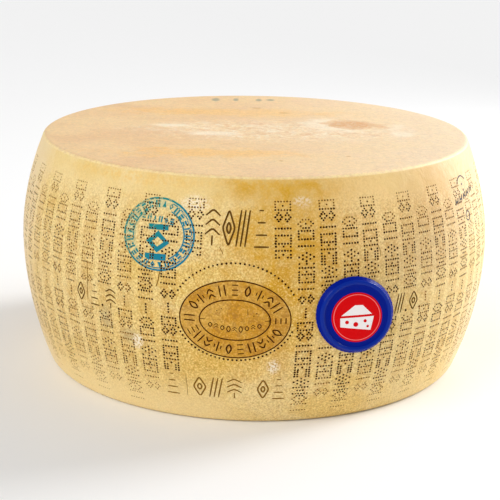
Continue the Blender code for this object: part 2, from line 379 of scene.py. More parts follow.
class Growth(Wiring):
    """A geometry node tree whose inputs have a name and a kind, such as Float."""

    def __init__(self, name, **inputs):
        super().__init__(bpy.data.node_groups.new(name, "GeometryNodeTree"))
        kinds = {"Geometry": "Geometry", **inputs, "Material": "Material"}
        for label, kind in kinds.items():
            self.tree.interface.new_socket(label, in_out="INPUT", socket_type="NodeSocket" + kind)
        self.tree.interface.new_socket("Geometry", in_out="OUTPUT", socket_type="NodeSocketGeometry")
        self.entering = self.tree.nodes.new("NodeGroupInput")

    def given(self, name):
        return Signal(self, self.entering.outputs[name])

    def end(self, geometry):
        """Every tree ends by making its copies real and giving them their material."""
        real = self.node("GeometryNodeRealizeInstances", inputs={"Geometry": geometry})
        values = {"Geometry": real, "Material": self.given("Material")}
        made = self.node("GeometryNodeSetMaterial", inputs=values)
        self.put(self.tree.nodes.new("NodeGroupOutput").inputs[0], made)

    def mesh(self, obj, **values):
        """Mesh that the tree makes on an object, which is then removed."""
        modifier = obj.modifiers.new("grow", "NODES")
        modifier.node_group = self.tree
        for item in self.tree.interface.items_tree:
            if item.name in values:
                modifier[item.identifier] = values[item.name]
        mesh = evaluated_mesh(obj)
        remove_object(obj)
        return mesh


def settings(name):
    return getattr(bpy.context.scene, "cheese_" + name)


SLOPE_STEP = 0.0005
# Heights between which the unevenness of the side sets in.
EVEN_FOOT = (0.004, 0.035)


def side_radius(height):
    """Radius of the turned side at a height above the foot."""
    shape = settings("shape")
    if height >= shape.widest_height:
        share = (height - shape.widest_height) / (shape.height - shape.widest_height)
        return shape.widest_radius - (shape.widest_radius - shape.top_radius) * share**shape.upper_power
    share = (shape.widest_height - height) / shape.widest_height
    return shape.widest_radius - (shape.widest_radius - shape.foot_radius) * share**shape.lower_power


def side_slope(height):
    """Change of the side's radius for each metre of height."""
    low = max(height - SLOPE_STEP, 0.0)
    high = min(height + SLOPE_STEP, settings("shape").height)
    return (side_radius(high) - side_radius(low)) / (high - low)


def smooth_step(value, low, high):
    """0 below `low`, 1 above `high` and a smooth rise between."""
    share = min(max((value - low) / (high - low), 0.0), 1.0)
    return share * share * (3.0 - 2.0 * share)


def swell(point):
    """How far the rind stands out from the turned shape at a point."""
    shape = settings("shape")
    return shape.swell * smooth_step(point.z, *EVEN_FOOT) * noise.noise(point / shape.swell_size)


def side_normal(angle, height):
    """Outward direction of the turned side."""
    outwards = Vector((math.sin(angle), -math.cos(angle), -side_slope(height)))
    return outwards.normalized()


def on_rind(angle, height, out=0.0):
    """Point on the uneven side, or `out` metres off it."""
    outwards = Vector((math.sin(angle), -math.cos(angle), 0.0))
    point = outwards * side_radius(height)
    point.z = height
    point += outwards * swell(point)
    return point + side_normal(angle, height) * out


def corner(start, middle, end, rows):
    """Points of a rounded corner, from just after `start` up to `end`."""
    points = []
    for row in range(1, rows + 1):
        t = row / rows
        near, far, both = (1 - t) ** 2, t**2, 2 * t * (1 - t)
        points.append(tuple(near * a + both * b + far * c for a, b, c in zip(start, middle, end)))
    return points


def wheel_profile():
    """(radius, height) points from the middle of the top, down the outside, to the middle of the foot."""
    shape = settings("shape")
    flat_top = shape.top_radius - shape.rim_rounding
    high, low = shape.height - shape.rim_rounding, shape.foot_rounding
    points = [(flat_top * i / shape.top_rings, shape.height) for i in range(shape.top_rings + 1)]
    rim = (shape.top_radius, shape.height)
    points += corner((flat_top, shape.height), rim, (side_radius(high), high), 5)
    for row in range(1, shape.side_rows + 1):
        height = high + (low - high) * row / shape.side_rows
        points.append((side_radius(height), height))
    flat_foot = shape.foot_radius - shape.foot_rounding
    foot = (shape.foot_radius, 0.0)
    points += corner((side_radius(low), low), foot, (flat_foot, 0.0), 4)
    points += [(flat_foot * share, 0.0) for share in (0.66, 0.33, 0.0)]
    return points


def evaluated_mesh(obj):
    graph = bpy.context.evaluated_depsgraph_get()
    return bpy.data.meshes.new_from_object(obj.evaluated_get(graph))


def new_object(name, data):
    obj = bpy.data.objects.new(name, data)
    bpy.context.scene.collection.objects.link(obj)
    return obj


def remove_object(obj):
    bpy.data.objects.remove(obj, do_unlink=True)


def turned_mesh(name, profile, steps):
    """Closed mesh turned from a profile by the Screw modifier."""
    line = bpy.data.meshes.new(name)
    line.from_pydata([(r, 0.0, z) for r, z in profile], [(i, i + 1) for i in range(len(profile) - 1)], [])
    outline = new_object(name + "_outline", line)
    screw = outline.modifiers.new("turn", "SCREW")
    screw.steps = steps
    screw.render_steps = steps
    screw.use_merge_vertices = True
    screw.merge_threshold = MERGE_DISTANCE
    mesh = evaluated_mesh(outline)
    mesh.name = name
    remove_object(outline)
    return mesh


def bare_wheel():
    """Mesh of the wheel before it is marked."""
    shape = settings("shape")
    mesh = turned_mesh("bare_wheel", wheel_profile(), shape.steps_round)
    flat_top = shape.top_radius - shape.rim_rounding
    for vertex in mesh.vertices:
        point = vertex.co.copy()
        radius = math.hypot(point.x, point.y)
        if radius < flat_top + MERGE_DISTANCE and point.z > shape.widest_height:
            inside = 1.0 - smooth_step(radius, flat_top * 0.8, flat_top)
            hollow = shape.top_sag * abs(noise.noise(point / shape.top_sag_size))
            vertex.co.z = point.z - hollow * inside
        elif point.z > MERGE_DISTANCE:
            outwards = Vector((point.x, point.y, 0.0)).normalized()
            vertex.co = point + outwards * swell(point)
    mesh.shade_smooth()
    return mesh


# A prick motif is drawn as lines in a box 1 wide and 1 high, with the column running up.
PRICK_MOTIFS = {
    "rail": (((0, 0.5), (1, 0.5)),),
    "rails": (((0, 0), (1, 0)), ((0, 1), (1, 1))),
    "box": (((0, 0), (1, 0)), ((0, 1), (1, 1)), ((0, 0), (0, 1)), ((1, 0), (1, 1))),
    "dotted_box": (((0, 0), (1, 0)), ((0, 1), (1, 1)), ((0, 0), (0, 1)), ((1, 0), (1, 1)), ((0.5, 0.5),)),
    "hexagon": (((0, 0.5), (0.3, 1), (0.7, 1), (1, 0.5), (0.7, 0), (0.3, 0), (0, 0.5)), ((0.5, 0.5),)),
    "plus": (((0, 0.5), (1, 0.5)), ((0.5, 0), (0.5, 1)), ((0, 0),), ((1, 0),), ((0, 1),), ((1, 1),)),
    "grid": (((0, 0), (1, 0)), ((0.3, 0.5), (0.7, 0.5)), ((0, 1), (1, 1))),
    "squares": (
        ((0, 0), (0.2, 0), (0.2, 1), (0, 1), (0, 0)),
        ((0.8, 0), (1, 0), (1, 1), (0.8, 1), (0.8, 0)),
    ),
    "lozenge": (((0, 0.5), (0.5, 1), (1, 0.5), (0.5, 0), (0, 0.5)), ((0.5, 0.5),)),
    "twin_lozenges": (
        ((0, 0.5), (0.22, 1), (0.44, 0.5), (0.22, 0), (0, 0.5)),
        ((0.56, 0.5), (0.78, 1), (1, 0.5), (0.78, 0), (0.56, 0.5)),
    ),
}
LONG_ROW = (
    "dotted_box", "twin_lozenges", "rail", "box", "plus", "squares", "lozenge", "grid", "hexagon", "rails",
)
SHORT_ROW = ("hexagon", "box", "rail", "lozenge", "plus", "dotted_box", "rail", "twin_lozenges")
DASH_PRICKS = 4
JITTER = 0.00012
LEAN = 0.0006
# Angle in radians about which the pattern is even. Far to its left and right the pricks are weaker.
PATTERN_MIDDLE = 0.06
# Places without columns: left and right angle in degrees, lower and upper height.
BARE_PLACES = (
    (-14.5, 8.5, 0.0, 0.150),
    (-21.0, -14.5, 0.0, 0.047),
    (-43.5, -30.4, 0.0925, 0.1145),
    (28.0, 37.0, 0.0925, 0.1145),
)


def motif_points(kind):
    """Points of one prick motif in metres, none of them too near another."""
    pattern = settings("pricks")
    kept = []
    for line in PRICK_MOTIFS[kind]:
        corners = [Vector((x * pattern.motif_width, y * pattern.motif_height)) for x, y in line]
        spots = [corners[0]]
        for start, end in zip(corners, corners[1:]):
            columns, rows = abs(end.x - start.x) / pattern.pitch, abs(end.y - start.y) / pattern.row_pitch
            parts = max(1, round(max(columns, rows)))
            spots += [start.lerp(end, i / parts) for i in range(1, parts + 1)]
        for point in spots:
            if all((point - other).length > pattern.row_pitch * 0.9 for other in kept):
                kept.append(point)
    return kept


def is_bare(angle, height):
    """True where a column of pricks is broken off for another mark or for the badge."""
    degrees = math.degrees(angle)
    badge = settings("badge")
    across = (angle - badge.angle) * side_radius(height)
    if math.hypot(across, height - badge.height) < badge.radius - 0.002:
        return True
    return any(left < degrees < right and low < height < high for left, right, low, high in BARE_PLACES)


def column_pricks(angle, is_high, rng):
    """(angle, height, strength) of each prick in one column."""
    pattern = settings("pricks")
    rows = (LONG_ROW, SHORT_ROW) if is_high else (SHORT_ROW, LONG_ROW)
    top = pattern.high_top if is_high else pattern.low_top
    lean = rng.uniform(-LEAN, LEAN)
    strength = rng.uniform(0.92, 1.05) - 0.12 * smooth_step(abs(angle - PATTERN_MIDDLE), 0.44, 0.66)
    foot = top - pattern.motif_step * (len(LONG_ROW) + len(SHORT_ROW)) - pattern.dash_gap
    found = []

    def press(x, height):
        radius = side_radius(height)
        across = x - pattern.motif_width / 2 + lean * math.sin(height * 30.0)
        across += rng.uniform(-JITTER, JITTER)
        height += rng.uniform(-JITTER, JITTER)
        spot = angle + across / radius
        if is_bare(angle, height) or is_bare(spot, height):
            return
        fade = smooth_step(height, foot, foot + 0.030) * (1 - smooth_step(height, top - 0.016, top + 0.004))
        edge = 0.68 + 0.32 * fade
        found.append((spot, height, strength * edge * rng.uniform(0.88, 1.1)))

    level = top
    for row in rows:
        for kind in row:
            level -= pattern.motif_step
            for point in motif_points(kind):
                press(point.x, level + point.y)
        if row is rows[0]:
            dash = level - pattern.dash_gap / 2
            for i in range(DASH_PRICKS):
                press(pattern.motif_width / 2, dash + (i - DASH_PRICKS // 2) * pattern.pitch)
            level -= pattern.dash_gap
    return found


# Arcs of pricks round the oval: first and last direction in degrees, and width and height in ovals.
BORDER_ARCS = ((28, 152, 1.17, 1.42), (196, 344, 1.07, 1.07))
BORDER_STEPS = 120


def oval_border_pricks(rng):
    """(angle, height, strength) of the evenly spaced pricks over and under the ringed oval."""
    marks, pattern = settings("marks"), settings("pricks")
    radius = side_radius(marks.oval_height)
    found = []
    for low, high, widen, stretch in BORDER_ARCS:
        wide, tall = marks.oval_half_width * widen, marks.oval_half_height * stretch
        turns = [math.radians(low + (high - low) * i / BORDER_STEPS) for i in range(BORDER_STEPS + 1)]
        corners = [Vector((wide * math.cos(t), tall * math.sin(t))) for t in turns]
        total = sum((b - a).length for a, b in zip(corners, corners[1:]))
        parts = round(total / pattern.border_pitch)
        walked, step = 0.0, 0
        for a, b in zip(corners, corners[1:]):
            while step <= parts and step * total / parts <= walked + (b - a).length + 1e-9:
                share = (step * total / parts - walked) / (b - a).length
                spot = a.lerp(b, share)
                angle = marks.oval_angle + spot.x / radius
                strength = pattern.border_share * rng.uniform(0.9, 1.05)
                found.append((angle, marks.oval_height + spot.y, strength))
                step += 1
            walked += (b - a).length
    return found


# Single deeper pricks beside the waist marks: angle in degrees and height.
LONE_PRICKS = ((-34.9, 0.0962), (-30.4, 0.0960), (35.6, 0.0960), (39.7, 0.0962))


def all_pricks():
    """(angle, height, strength) of every pin prick."""
    pattern = settings("pricks")
    rng = random.Random(pattern.seed)
    found = oval_border_pricks(rng)
    found += [(math.radians(degrees), height, 1.2) for degrees, height in LONE_PRICKS]
    for columns, start, step in (
        (pattern.left_columns, pattern.left_start, -pattern.left_step),
        (pattern.right_columns, pattern.right_start, pattern.right_step),
    ):
        for i in range(columns):
            found += column_pricks(start + i * step, i % 2 == 0, rng)
    return found


def prick_growth():
    """Puts a four-sided spike, point down, at each point, along its own outward direction."""
    tree = Growth("pin_pricks", Width="Float", Depth="Float", Rise="Float", Seed="Int")
    depth = tree.given("Depth")
    tall = depth + tree.given("Rise")
    open_radius = tree.given("Width") * 0.5 * (tall / depth)
    cone = {"Vertices": 4, "Radius Top": open_radius, "Radius Bottom": 0.0, "Depth": tall}
    spike = tree.node("GeometryNodeMeshCone", {"fill_type": "NGON"}, cone, "Mesh")
    down = tree.node("ShaderNodeCombineXYZ", inputs={"Z": -depth})
    lowered = tree.node("GeometryNodeTransform", inputs={"Geometry": spike, "Translation": down})
    stored = "GeometryNodeInputNamedAttribute"
    out = tree.node(stored, {"data_type": "FLOAT_VECTOR"}, {"Name": "out"})
    size = tree.node(stored, {"data_type": "FLOAT"}, {"Name": "size"})
    aimed = tree.node("FunctionNodeAlignRotationToVector", {"axis": "Z"}, {"Vector": out})
    # Input 3 is the largest number, and output 1 the number that is drawn.
    limits = {3: math.tau, "Seed": tree.given("Seed")}
    spin = tree.node("FunctionNodeRandomValue", {"data_type": "FLOAT"}, limits, 1)
    spun = tree.node("ShaderNodeCombineXYZ", inputs={"Z": spin})
    twist = tree.node("FunctionNodeEulerToRotation", inputs={"Euler": spun})
    turns = {"Rotation": aimed, "Rotate By": twist}
    turned = tree.node("FunctionNodeRotateRotation", {"rotation_space": "LOCAL"}, turns)
    copies = {"Points": tree.given("Geometry"), "Instance": lowered, "Rotation": turned, "Scale": size}
    tree.end(tree.node("GeometryNodeInstanceOnPoints", inputs=copies))
    return tree


def stroke_growth():
    """Runs a round tube along each line, thick as the line's radius asks."""
    tree = Growth("pressed_strokes", Width="Float", Sides="Int")
    circle = {"Resolution": tree.given("Sides"), "Radius": tree.given("Width") * 0.5}
    ring = tree.node("GeometryNodeCurvePrimitiveCircle", inputs=circle)
    thick = tree.node("GeometryNodeInputRadius")
    tube = {"Curve": tree.given("Geometry"), "Profile Curve": ring, "Scale": thick, "Fill Caps": True}
    tree.end(tree.node("GeometryNodeCurveToMesh", inputs=tube))
    return tree


def prick_cones(name, pricks, share, material):
    """Object of closed cones, one for each prick."""
    pattern = settings("pricks")
    points = bpy.data.meshes.new(name + "_points")
    points.from_pydata([on_rind(angle, height) for angle, height, _ in pricks], [], [])
    points.attributes.new("out", "FLOAT_VECTOR", "POINT")
    points.attributes.new("size", "FLOAT", "POINT")
    out, size = points.attributes["out"], points.attributes["size"]
    for i, (angle, height, strength) in enumerate(pricks):
        out.data[i].vector = side_normal(angle, height)
        size.data[i].value = strength * share
    cones = prick_growth().mesh(
        new_object(name + "_points", points),
        Width=pattern.width,
        Depth=pattern.depth,
        Rise=pattern.rise,
        Seed=pattern.seed,
        Material=material,
    )
    return new_object(name, cones)


# Each mark is drawn in a box 1 wide and 1 high. True closes the stroke into a loop.
MARK_STROKES = {
    "nested_lozenges": (
        (True, ((0.5, 1.0), (0.0, 0.5), (0.5, 0.0), (1.0, 0.5))),
        (True, ((0.5, 0.68), (0.3, 0.5), (0.5, 0.32), (0.7, 0.5))),
    ),
    "wheat_ear": (
        (False, ((0.0, 0.82), (0.5, 1.0), (1.0, 0.82))),
        (False, ((0.0, 0.56), (0.5, 0.74), (1.0, 0.56))),
        (False, ((0.0, 0.30), (0.5, 0.48), (1.0, 0.30))),
        (False, ((0.5, 0.0), (0.5, 0.28))),
    ),
    "leaning_bars": (
        (False, ((0.0, 0.0), (0.35, 1.0))),
        (False, ((0.325, 0.0), (0.675, 1.0))),
        (False, ((0.65, 0.0), (1.0, 1.0))),
    ),
    "stepped_bars": (
        (False, ((0.35, 1.0), (0.65, 1.0))),
        (False, ((0.23, 0.67), (0.77, 0.67))),
        (False, ((0.12, 0.33), (0.88, 0.33))),
        (False, ((0.0, 0.0), (1.0, 0.0))),
    ),
}
# The marks of each row: left and right angle in degrees, and the kind.
TALL_MARKS = (
    (-10.6, -7.4, "wheat_ear"),
    (-6.8, -4.1, "nested_lozenges"),
    (-3.8, -0.9, "leaning_bars"),
    (0.0, 3.2, "stepped_bars"),
)
FOOT_MARKS = (
    (-19.9, -16.8, "stepped_bars"),
    (-13.3, -10.3, "nested_lozenges"),
    (-9.6, -6.5, "leaning_bars"),
    (-5.5, -2.2, "wheat_ear"),
    (1.3, 4.0, "nested_lozenges"),
    (4.8, 7.6, "stepped_bars"),
)
WAIST_MARKS = (
    (-42.6, -40.1, "nested_lozenges"),
    (-38.4, -35.8, "stepped_bars"),
    (-33.9, -31.2, "wheat_ear"),
    (32.5, 34.9, "leaning_bars"),
    (36.4, 38.9, "nested_lozenges"),
)
TALL_HEIGHTS = (0.159, 0.187)
FOOT_HEIGHTS = (0.0253, 0.0445)
WAIST_HEIGHTS = (0.0950, 0.1120)
CORNER_CUT = 0.0024
CORNER_CUT_SHARE = 0.4
CORNER_POINTS = 3
STROKE_STEP = 0.004
STROKE_SIDES = 6
STROKE_SINK = 0.06
STROKE_END_SHARE = 0.7


def rounded_stroke(corners, closed):
    """The stroke's points with each inner corner cut to a short curve."""
    points = []
    for i, here in enumerate(corners):
        if not closed and i in (0, len(corners) - 1):
            points.append(here)
            continue
        before, after = corners[i - 1], corners[(i + 1) % len(corners)]
        cut = min(CORNER_CUT, min((before - here).length, (after - here).length) * CORNER_CUT_SHARE)
        enter = here + (before - here).normalized() * cut
        leave = here + (after - here).normalized() * cut
        for step in range(CORNER_POINTS + 1):
            t = step / CORNER_POINTS
            points.append(enter * (1 - t) ** 2 + here * 2 * t * (1 - t) + leave * t**2)
    return points


def divided(points, closed):
    """The same line with more points on its long runs, so that it follows the curved rind."""
    found = []
    for start, end in zip(points, points[1:] + points[:1] if closed else points[1:]):
        parts = max(1, round((end - start).length / STROKE_STEP))
        found += [start.lerp(end, part / parts) for part in range(parts)]
    if not closed:
        found.append(points[-1])
    return found


def mark_lines(row, heights, width):
    """(closed, width, points) for each stroke, with (angle, height) points on the rind."""
    low, high = heights
    radius = side_radius((low + high) / 2)
    lines = []
    for left, right, kind in row:
        start = math.radians(left)
        wide = math.radians(right - left) * radius
        for closed, corners in MARK_STROKES[kind]:
            flat = [Vector((x * wide, z * (high - low))) for x, z in corners]
            points = divided(rounded_stroke(flat, closed), closed)
            lines.append((closed, width, [(start + p.x / radius, low + p.y) for p in points]))
    return lines


# The figures between the oval's rings, drawn in a box from -1 to 1, with their feet towards the middle.
BAND_FIGURES = (
    (((-0.7, -1), (-0.7, 1)), ((0.7, -1), (0.7, 1))),
    (((0, 1), (-0.8, 0), (0, -1), (0.8, 0), (0, 1)),),
    (((-0.9, 0.1), (0, 0.9), (0.9, 0.1)), ((-0.9, -0.9), (0, -0.1), (0.9, -0.9))),
    (((-0.8, 0.9), (0.8, 0.9)), ((-0.8, 0), (0.8, 0)), ((-0.8, -0.9), (0.8, -0.9))),
    (((0, -1), (0, 1)), ((-0.9, 0.3), (-0.9, -0.3)), ((0.9, 0.3), (0.9, -0.3))),
)
# Directions of those figures from the oval's middle, in degrees.
BAND_PLACES = (*(26 + 16 * i for i in range(9)), *(203.5 + 14.8 * i for i in range(10)), 0, 180)
BAND_HALF_WIDTH = 0.0031
BAND_HALF_HEIGHT = 0.0046
OUTER_STEPS = 96
EYE_STEPS = 72
EYE_FIGURES = 9
EYE_FIGURE_STEP = 0.0050
# Short nicks over the oval's inner row, from the oval's middle.
EYE_NICKS = ((-0.0150, 0.0075), (-0.0112, 0.0095), (0.0172, 0.0062), (0.0150, 0.0040))


def oval_line(width, spots, closed=False):
    """One stroke of the oval, from its width in ring widths and its points from the oval's middle."""
    marks = settings("marks")
    radius = side_radius(marks.oval_height)
    points = [(marks.oval_angle + x / radius, marks.oval_height + y) for x, y in spots]
    return closed, marks.ring_width * width, points


def eye_size():
    """Half width and half height of the oval's inner ring."""
    marks = settings("marks")
    wide, tall = marks.oval_half_width, marks.oval_half_height
    return wide * marks.inner_share * 1.06, tall * marks.inner_share * 0.87


def signed_power(value, power):
    return math.copysign(abs(value) ** power, value)


def ring_lines():
    """The two rings of the oval, and a short stroke inside each end of the inner one."""
    marks = settings("marks")
    wide, tall = marks.oval_half_width, marks.oval_half_height
    turns = [math.tau * i / OUTER_STEPS for i in range(OUTER_STEPS)]
    lines = [oval_line(1.0, [(wide * math.cos(t), tall * math.sin(t)) for t in turns], True)]
    eye_wide, eye_tall = eye_size()
    eye = []
    for i in range(EYE_STEPS):
        t = math.tau * i / EYE_STEPS
        eye.append((eye_wide * signed_power(math.cos(t), 0.86), eye_tall * signed_power(math.sin(t), 1.12)))
    lines.append(oval_line(1.0, eye, True))
    for side in (-1, 1):
        lines.append(oval_line(0.8, [(side * eye_wide * 0.98, 0.0), (side * eye_wide * 0.84, 0.0)]))
    return lines


def band_lines():
    """The figures between the oval's rings."""
    marks = settings("marks")
    wide, tall = marks.oval_half_width, marks.oval_half_height
    lines = []
    for i, degrees in enumerate(BAND_PLACES):
        t = math.radians(degrees)
        middle = Vector((wide * 0.82 * math.cos(t), tall * 0.77 * math.sin(t)))
        out = Vector((math.cos(t) / wide, math.sin(t) / tall)).normalized()
        across = Vector((-out.y, out.x))
        for line in BAND_FIGURES[(i * 2) % len(BAND_FIGURES)]:
            corners = [middle + across * x * BAND_HALF_WIDTH + out * y * BAND_HALF_HEIGHT for x, y in line]
            lines.append(oval_line(1.3, divided(rounded_stroke(corners, False), False)))
    return lines


def eye_lines():
    """The row of lozenges and small peaks inside the inner ring, with the nicks over it."""
    eye_wide, _ = eye_size()
    lines = []
    for i in range(EYE_FIGURES):
        x = (i - EYE_FIGURES // 2) * EYE_FIGURE_STEP
        rise = -0.0058 - 0.0022 * math.cos(x / eye_wide * math.pi)
        if i % 3 == 1:
            for lift in (-0.0014, 0.0006):
                foot = rise + lift
                lines.append(oval_line(0.8, [(x - 0.0017, foot), (x, foot + 0.0016), (x + 0.0017, foot)]))
        else:
            half = 0.0032 if i % 2 else 0.0023
            tips = ((0, 1), (-1, 0), (0, -1), (1, 0))
            corners = [Vector((x + 0.0018 * u, rise + half * v)) for u, v in tips]
            lines.append(oval_line(0.8, rounded_stroke(corners, True), True))
    for x, y in EYE_NICKS:
        lines.append(oval_line(1.1, [(x, y), (x + 0.0008, y + 0.0004)]))
    lines.append(oval_line(0.7, [(0.0105, 0.0100), (0.0106, 0.0050)]))
    return lines


# Nicks and scratches: width and (angle in degrees, height) points.
SCRATCHES = (
    (0.0010, ((-19.9, 0.1400), (-20.3, 0.1330), (-20.5, 0.1270), (-21.0, 0.1215))),
    (0.0007, ((-22.4, 0.1310), (-22.7, 0.1230), (-22.5, 0.1150))),
    (0.0006, ((-13.2, 0.1400), (-12.9, 0.1350), (-12.4, 0.1300))),
    (0.0007, ((-7.3, 0.1580), (-6.8, 0.1550), (-6.5, 0.1525))),
    (0.0008, ((-39.4, 0.1300), (-39.1, 0.1190), (-39.3, 0.1080), (-39.2, 0.0980))),
    (0.0005, ((-14.9, 0.0450), (-14.8, 0.0340), (-14.9, 0.0250))),
    (0.0005, ((5.4, 0.0600), (5.1, 0.0560))),
    (0.0005, ((-27.0, 0.1150), (-26.5, 0.1120))),
    (0.0006, ((28.0, 0.1560), (28.5, 0.1500), (28.4, 0.1460))),
    (0.0005, ((118.0, 0.0700), (119.5, 0.0680), (122.0, 0.0690))),
    (0.0006, ((-141.0, 0.1300), (-140.2, 0.1220))),
    (0.0006, ((163.0, 0.0900), (164.5, 0.0830), (165.0, 0.0790))),
)


def scratch_lines():
    """(closed, width, points) for each scratch, with three steps from corner to corner."""
    lines = []
    for width, corners in SCRATCHES:
        points = [Vector((math.radians(degrees), height)) for degrees, height in corners]
        runs = [a.lerp(b, part / 3) for a, b in zip(points, points[1:]) for part in range(3)]
        lines.append((False, width, [*runs, points[-1]]))
    return lines


def stroke_tubes(name, lines, material):
    """Object of closed tubes that lie about half in the rind along the lines."""
    curve = bpy.data.curves.new(name, "CURVE")
    curve.dimensions = "3D"
    for closed, width, points in lines:
        spline = curve.splines.new("POLY")
        spline.points.add(len(points) - 1)
        for i, (spot, (angle, height)) in enumerate(zip(spline.points, points)):
            at_end = not closed and i in (0, len(points) - 1)
            spot.co = (*on_rind(angle, height, -STROKE_SINK * width), 1.0)
            spot.radius = width * (STROKE_END_SHARE if at_end else 1.0)
        spline.use_cyclic_u = closed
    lines_object = new_object(name + "_lines", curve)
    tubes = stroke_growth().mesh(lines_object, Width=1.0, Sides=STROKE_SIDES, Material=material)
    return new_object(name, tubes)


def cut_away(obj, cutter):
    """Takes the cutter's shape out of the object, whose new faces keep the cutter's material."""
    cut = obj.modifiers.new("cut", "BOOLEAN")
    cut.operation = "DIFFERENCE"
    cut.solver = "MANIFOLD"
    cut.material_mode = "TRANSFER"
    cut.object = cutter
    old = obj.data
    obj.data = evaluated_mesh(obj)
    obj.modifiers.clear()
    bpy.data.meshes.remove(old)


OUTLINE_STEP = 0.002
GRID_LEAN = 0.013


def disc(x, y, radius, steps):
    turns = [math.tau * i / steps for i in range(steps)]
    return [Vector((x + radius * math.cos(t), y + radius * math.sin(t))) for t in turns]


def polygon(corners, step=OUTLINE_STEP):
    """Closed outline through the corners, with more points on its long sides."""
    points = [Vector(c) for c in corners]
    found = []
    for start, end in zip(points, points[1:] + points[:1]):
        parts = max(1, round((end - start).length / step))
        found += [start.lerp(end, part / parts) for part in range(parts)]
    return found


def bar(x, y, wide, tall, turned=0.0, step=OUTLINE_STEP):
    """Outline of a bar, turned about its middle."""
    corners = []
    for u, v in ((-1, -1), (1, -1), (1, 1), (-1, 1)):
        reach = Vector((u * wide / 2, v * tall / 2))
        reach.rotate(Matrix.Rotation(turned, 2))
        corners.append((x + reach.x, y + reach.y))
    return polygon(corners, step)


def arc_band(y, inner, outer, first, last):
    """Outline of a bent strip round (0, y) from one angle to another, in degrees."""
    parts = max(2, round(math.radians(abs(last - first)) * outer / OUTLINE_STEP))
    turns = [math.radians(first + (last - first) * i / parts) for i in range(parts + 1)]
    outside = [Vector((outer * math.cos(t), y + outer * math.sin(t))) for t in turns]
    inside = [Vector((inner * math.cos(t), y + inner * math.sin(t))) for t in reversed(turns)]
    return outside + inside


def roughened(loops, amount, seed):
    """The outlines with their points moved a little, as an uneven print has them."""
    rng = random.Random(seed)

    def moved(point):
        return point + Vector((rng.uniform(-amount, amount), rng.uniform(-amount, amount)))

    return [[moved(point) for point in loop] for loop in loops]


def encloses(loops, point):
    """True where an odd number of outlines lies round the point."""
    inside = False
    for loop in loops:
        for a, b in zip(loop, loop[1:] + loop[:1]):
            if (a.y > point.y) != (b.y > point.y):
                if point.x < a.x + (point.y - a.y) * (b.x - a.x) / (b.y - a.y):
                    inside = not inside
    return inside


def filled(loops, spacing):
    """Flat points and triangles that fill the outlines, with a grid of points inside."""
    points, edges = [], []
    for loop in loops:
        first = len(points)
        points += loop
        edges += [(first + i, first + (i + 1) % len(loop)) for i in range(len(loop))]
    low = [min(p[i] for p in points) for i in range(2)]
    high = [max(p[i] for p in points) for i in range(2)]
    columns, rows = (int((high[i] - low[i]) / spacing) for i in range(2))
    for column in range(1, columns + 1):
        lean = spacing * GRID_LEAN * column
        for row in range(1, rows + 1):
            spot = Vector((low[0] + column * spacing, low[1] + row * spacing + lean))
            if encloses(loops, spot):
                points.append(spot)
    flat, _, faces, *_ = delaunay_2d_cdt(points, edges, [], 1, 1e-7)
    kept = []
    for face in faces:
        a, b, c = (flat[i] for i in face)
        if encloses(loops, (a + b + c) / 3):
            kept.append(tuple(face) if (b - a).cross(c - a) > 0 else tuple(reversed(face)))
    return flat, kept


def thin_sheet(name, loops, place, lift, sink, spacing):
    """Object of thin closed sheets: outlines laid on a surface by `place`. An inner outline is a hole."""
    flat, kept = filled(loops, spacing)
    half = len(flat)
    places = [place(p.x, p.y, lift) for p in flat] + [place(p.x, p.y, -sink) for p in flat]
    sides = {(a, b) for face in kept for a, b in zip(face, face[1:] + face[:1])}
    walls = [(b, a, a + half, b + half) for a, b in sides if (b, a) not in sides]
    backs = [tuple(i + half for i in reversed(face)) for face in kept]
    mesh = bpy.data.meshes.new(name)
    mesh.from_pydata(places, [], kept + backs + walls)
    shape = bmesh.new()
    shape.from_mesh(mesh)
    bmesh.ops.delete(shape, geom=[v for v in shape.verts if not v.link_faces], context="VERTS")
    shape.to_mesh(mesh)
    shape.free()
    return new_object(name, mesh)


def keep_smooth(mesh, bare, slot):
    """Gives the faces of one slot the normals of the same place on the bare shape."""
    bare.shade_smooth()
    tree = BVHTree.FromPolygons([v.co for v in bare.vertices], [p.vertices for p in bare.polygons])
    found = {}
    normals = [n.vector.copy() for n in mesh.corner_normals]
    for face in mesh.polygons:
        if face.material_index != slot:
            for corner_index in face.loop_indices:
                normals[corner_index] = face.normal.copy()
            continue
        for corner_index in face.loop_indices:
            index = mesh.loops[corner_index].vertex_index
            if index not in found:
                place, _, polygon, _ = tree.find_nearest(mesh.vertices[index].co)
                around = bare.polygons[polygon].vertices
                shares = poly_3d_calc([bare.vertices[i].co for i in around], place)
                mixed = sum((bare.vertices[i].normal * s for i, s in zip(around, shares)), Vector())
                found[index] = mixed.normalized()
            normals[corner_index] = found[index]
    mesh.normals_split_custom_set(normals)


def settle(obj, slot, *replaced):
    """Hangs the finished piece under the body's empty, and hides the CAD parts that it replaces."""
    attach(obj, BODY)
    if replaced:
        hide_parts(*replaced)


def plain_material(name, base, roughness, shine=0.5):
    return Sheet(name).finish(Base_Color=base, Roughness=roughness, Specular_IOR_Level=shine)


# Places on the side: angle in degrees, height, half width and half height.
OCHRE_PLACES = (
    (8.0, 0.156, 0.058, 0.055),
    (10.0, 0.201, 0.062, 0.012),
    (-4.0, 0.072, 0.052, 0.028),
    (5.0, 0.110, 0.046, 0.040),
)
OCHRE_STRENGTHS = (0.9, 1.0, 0.7, 1.0)
EDGE_BANDS = ((-28.0, 0.2055, 0.070, 0.0045), (4.0, 0.2060, 0.045, 0.004))
SMUDGES = ((-34.0, 0.086, 0.007, 0.009), (-28.0, 0.074, 0.008, 0.006))
CHALK_MARKS = (
    (-13.2, 0.190, 0.011, 0.006),
    (-26.0, 0.070, 0.005, 0.006),
    (10.8, 0.193, 0.007, 0.004),
    (4.6, 0.057, 0.005, 0.006),
)
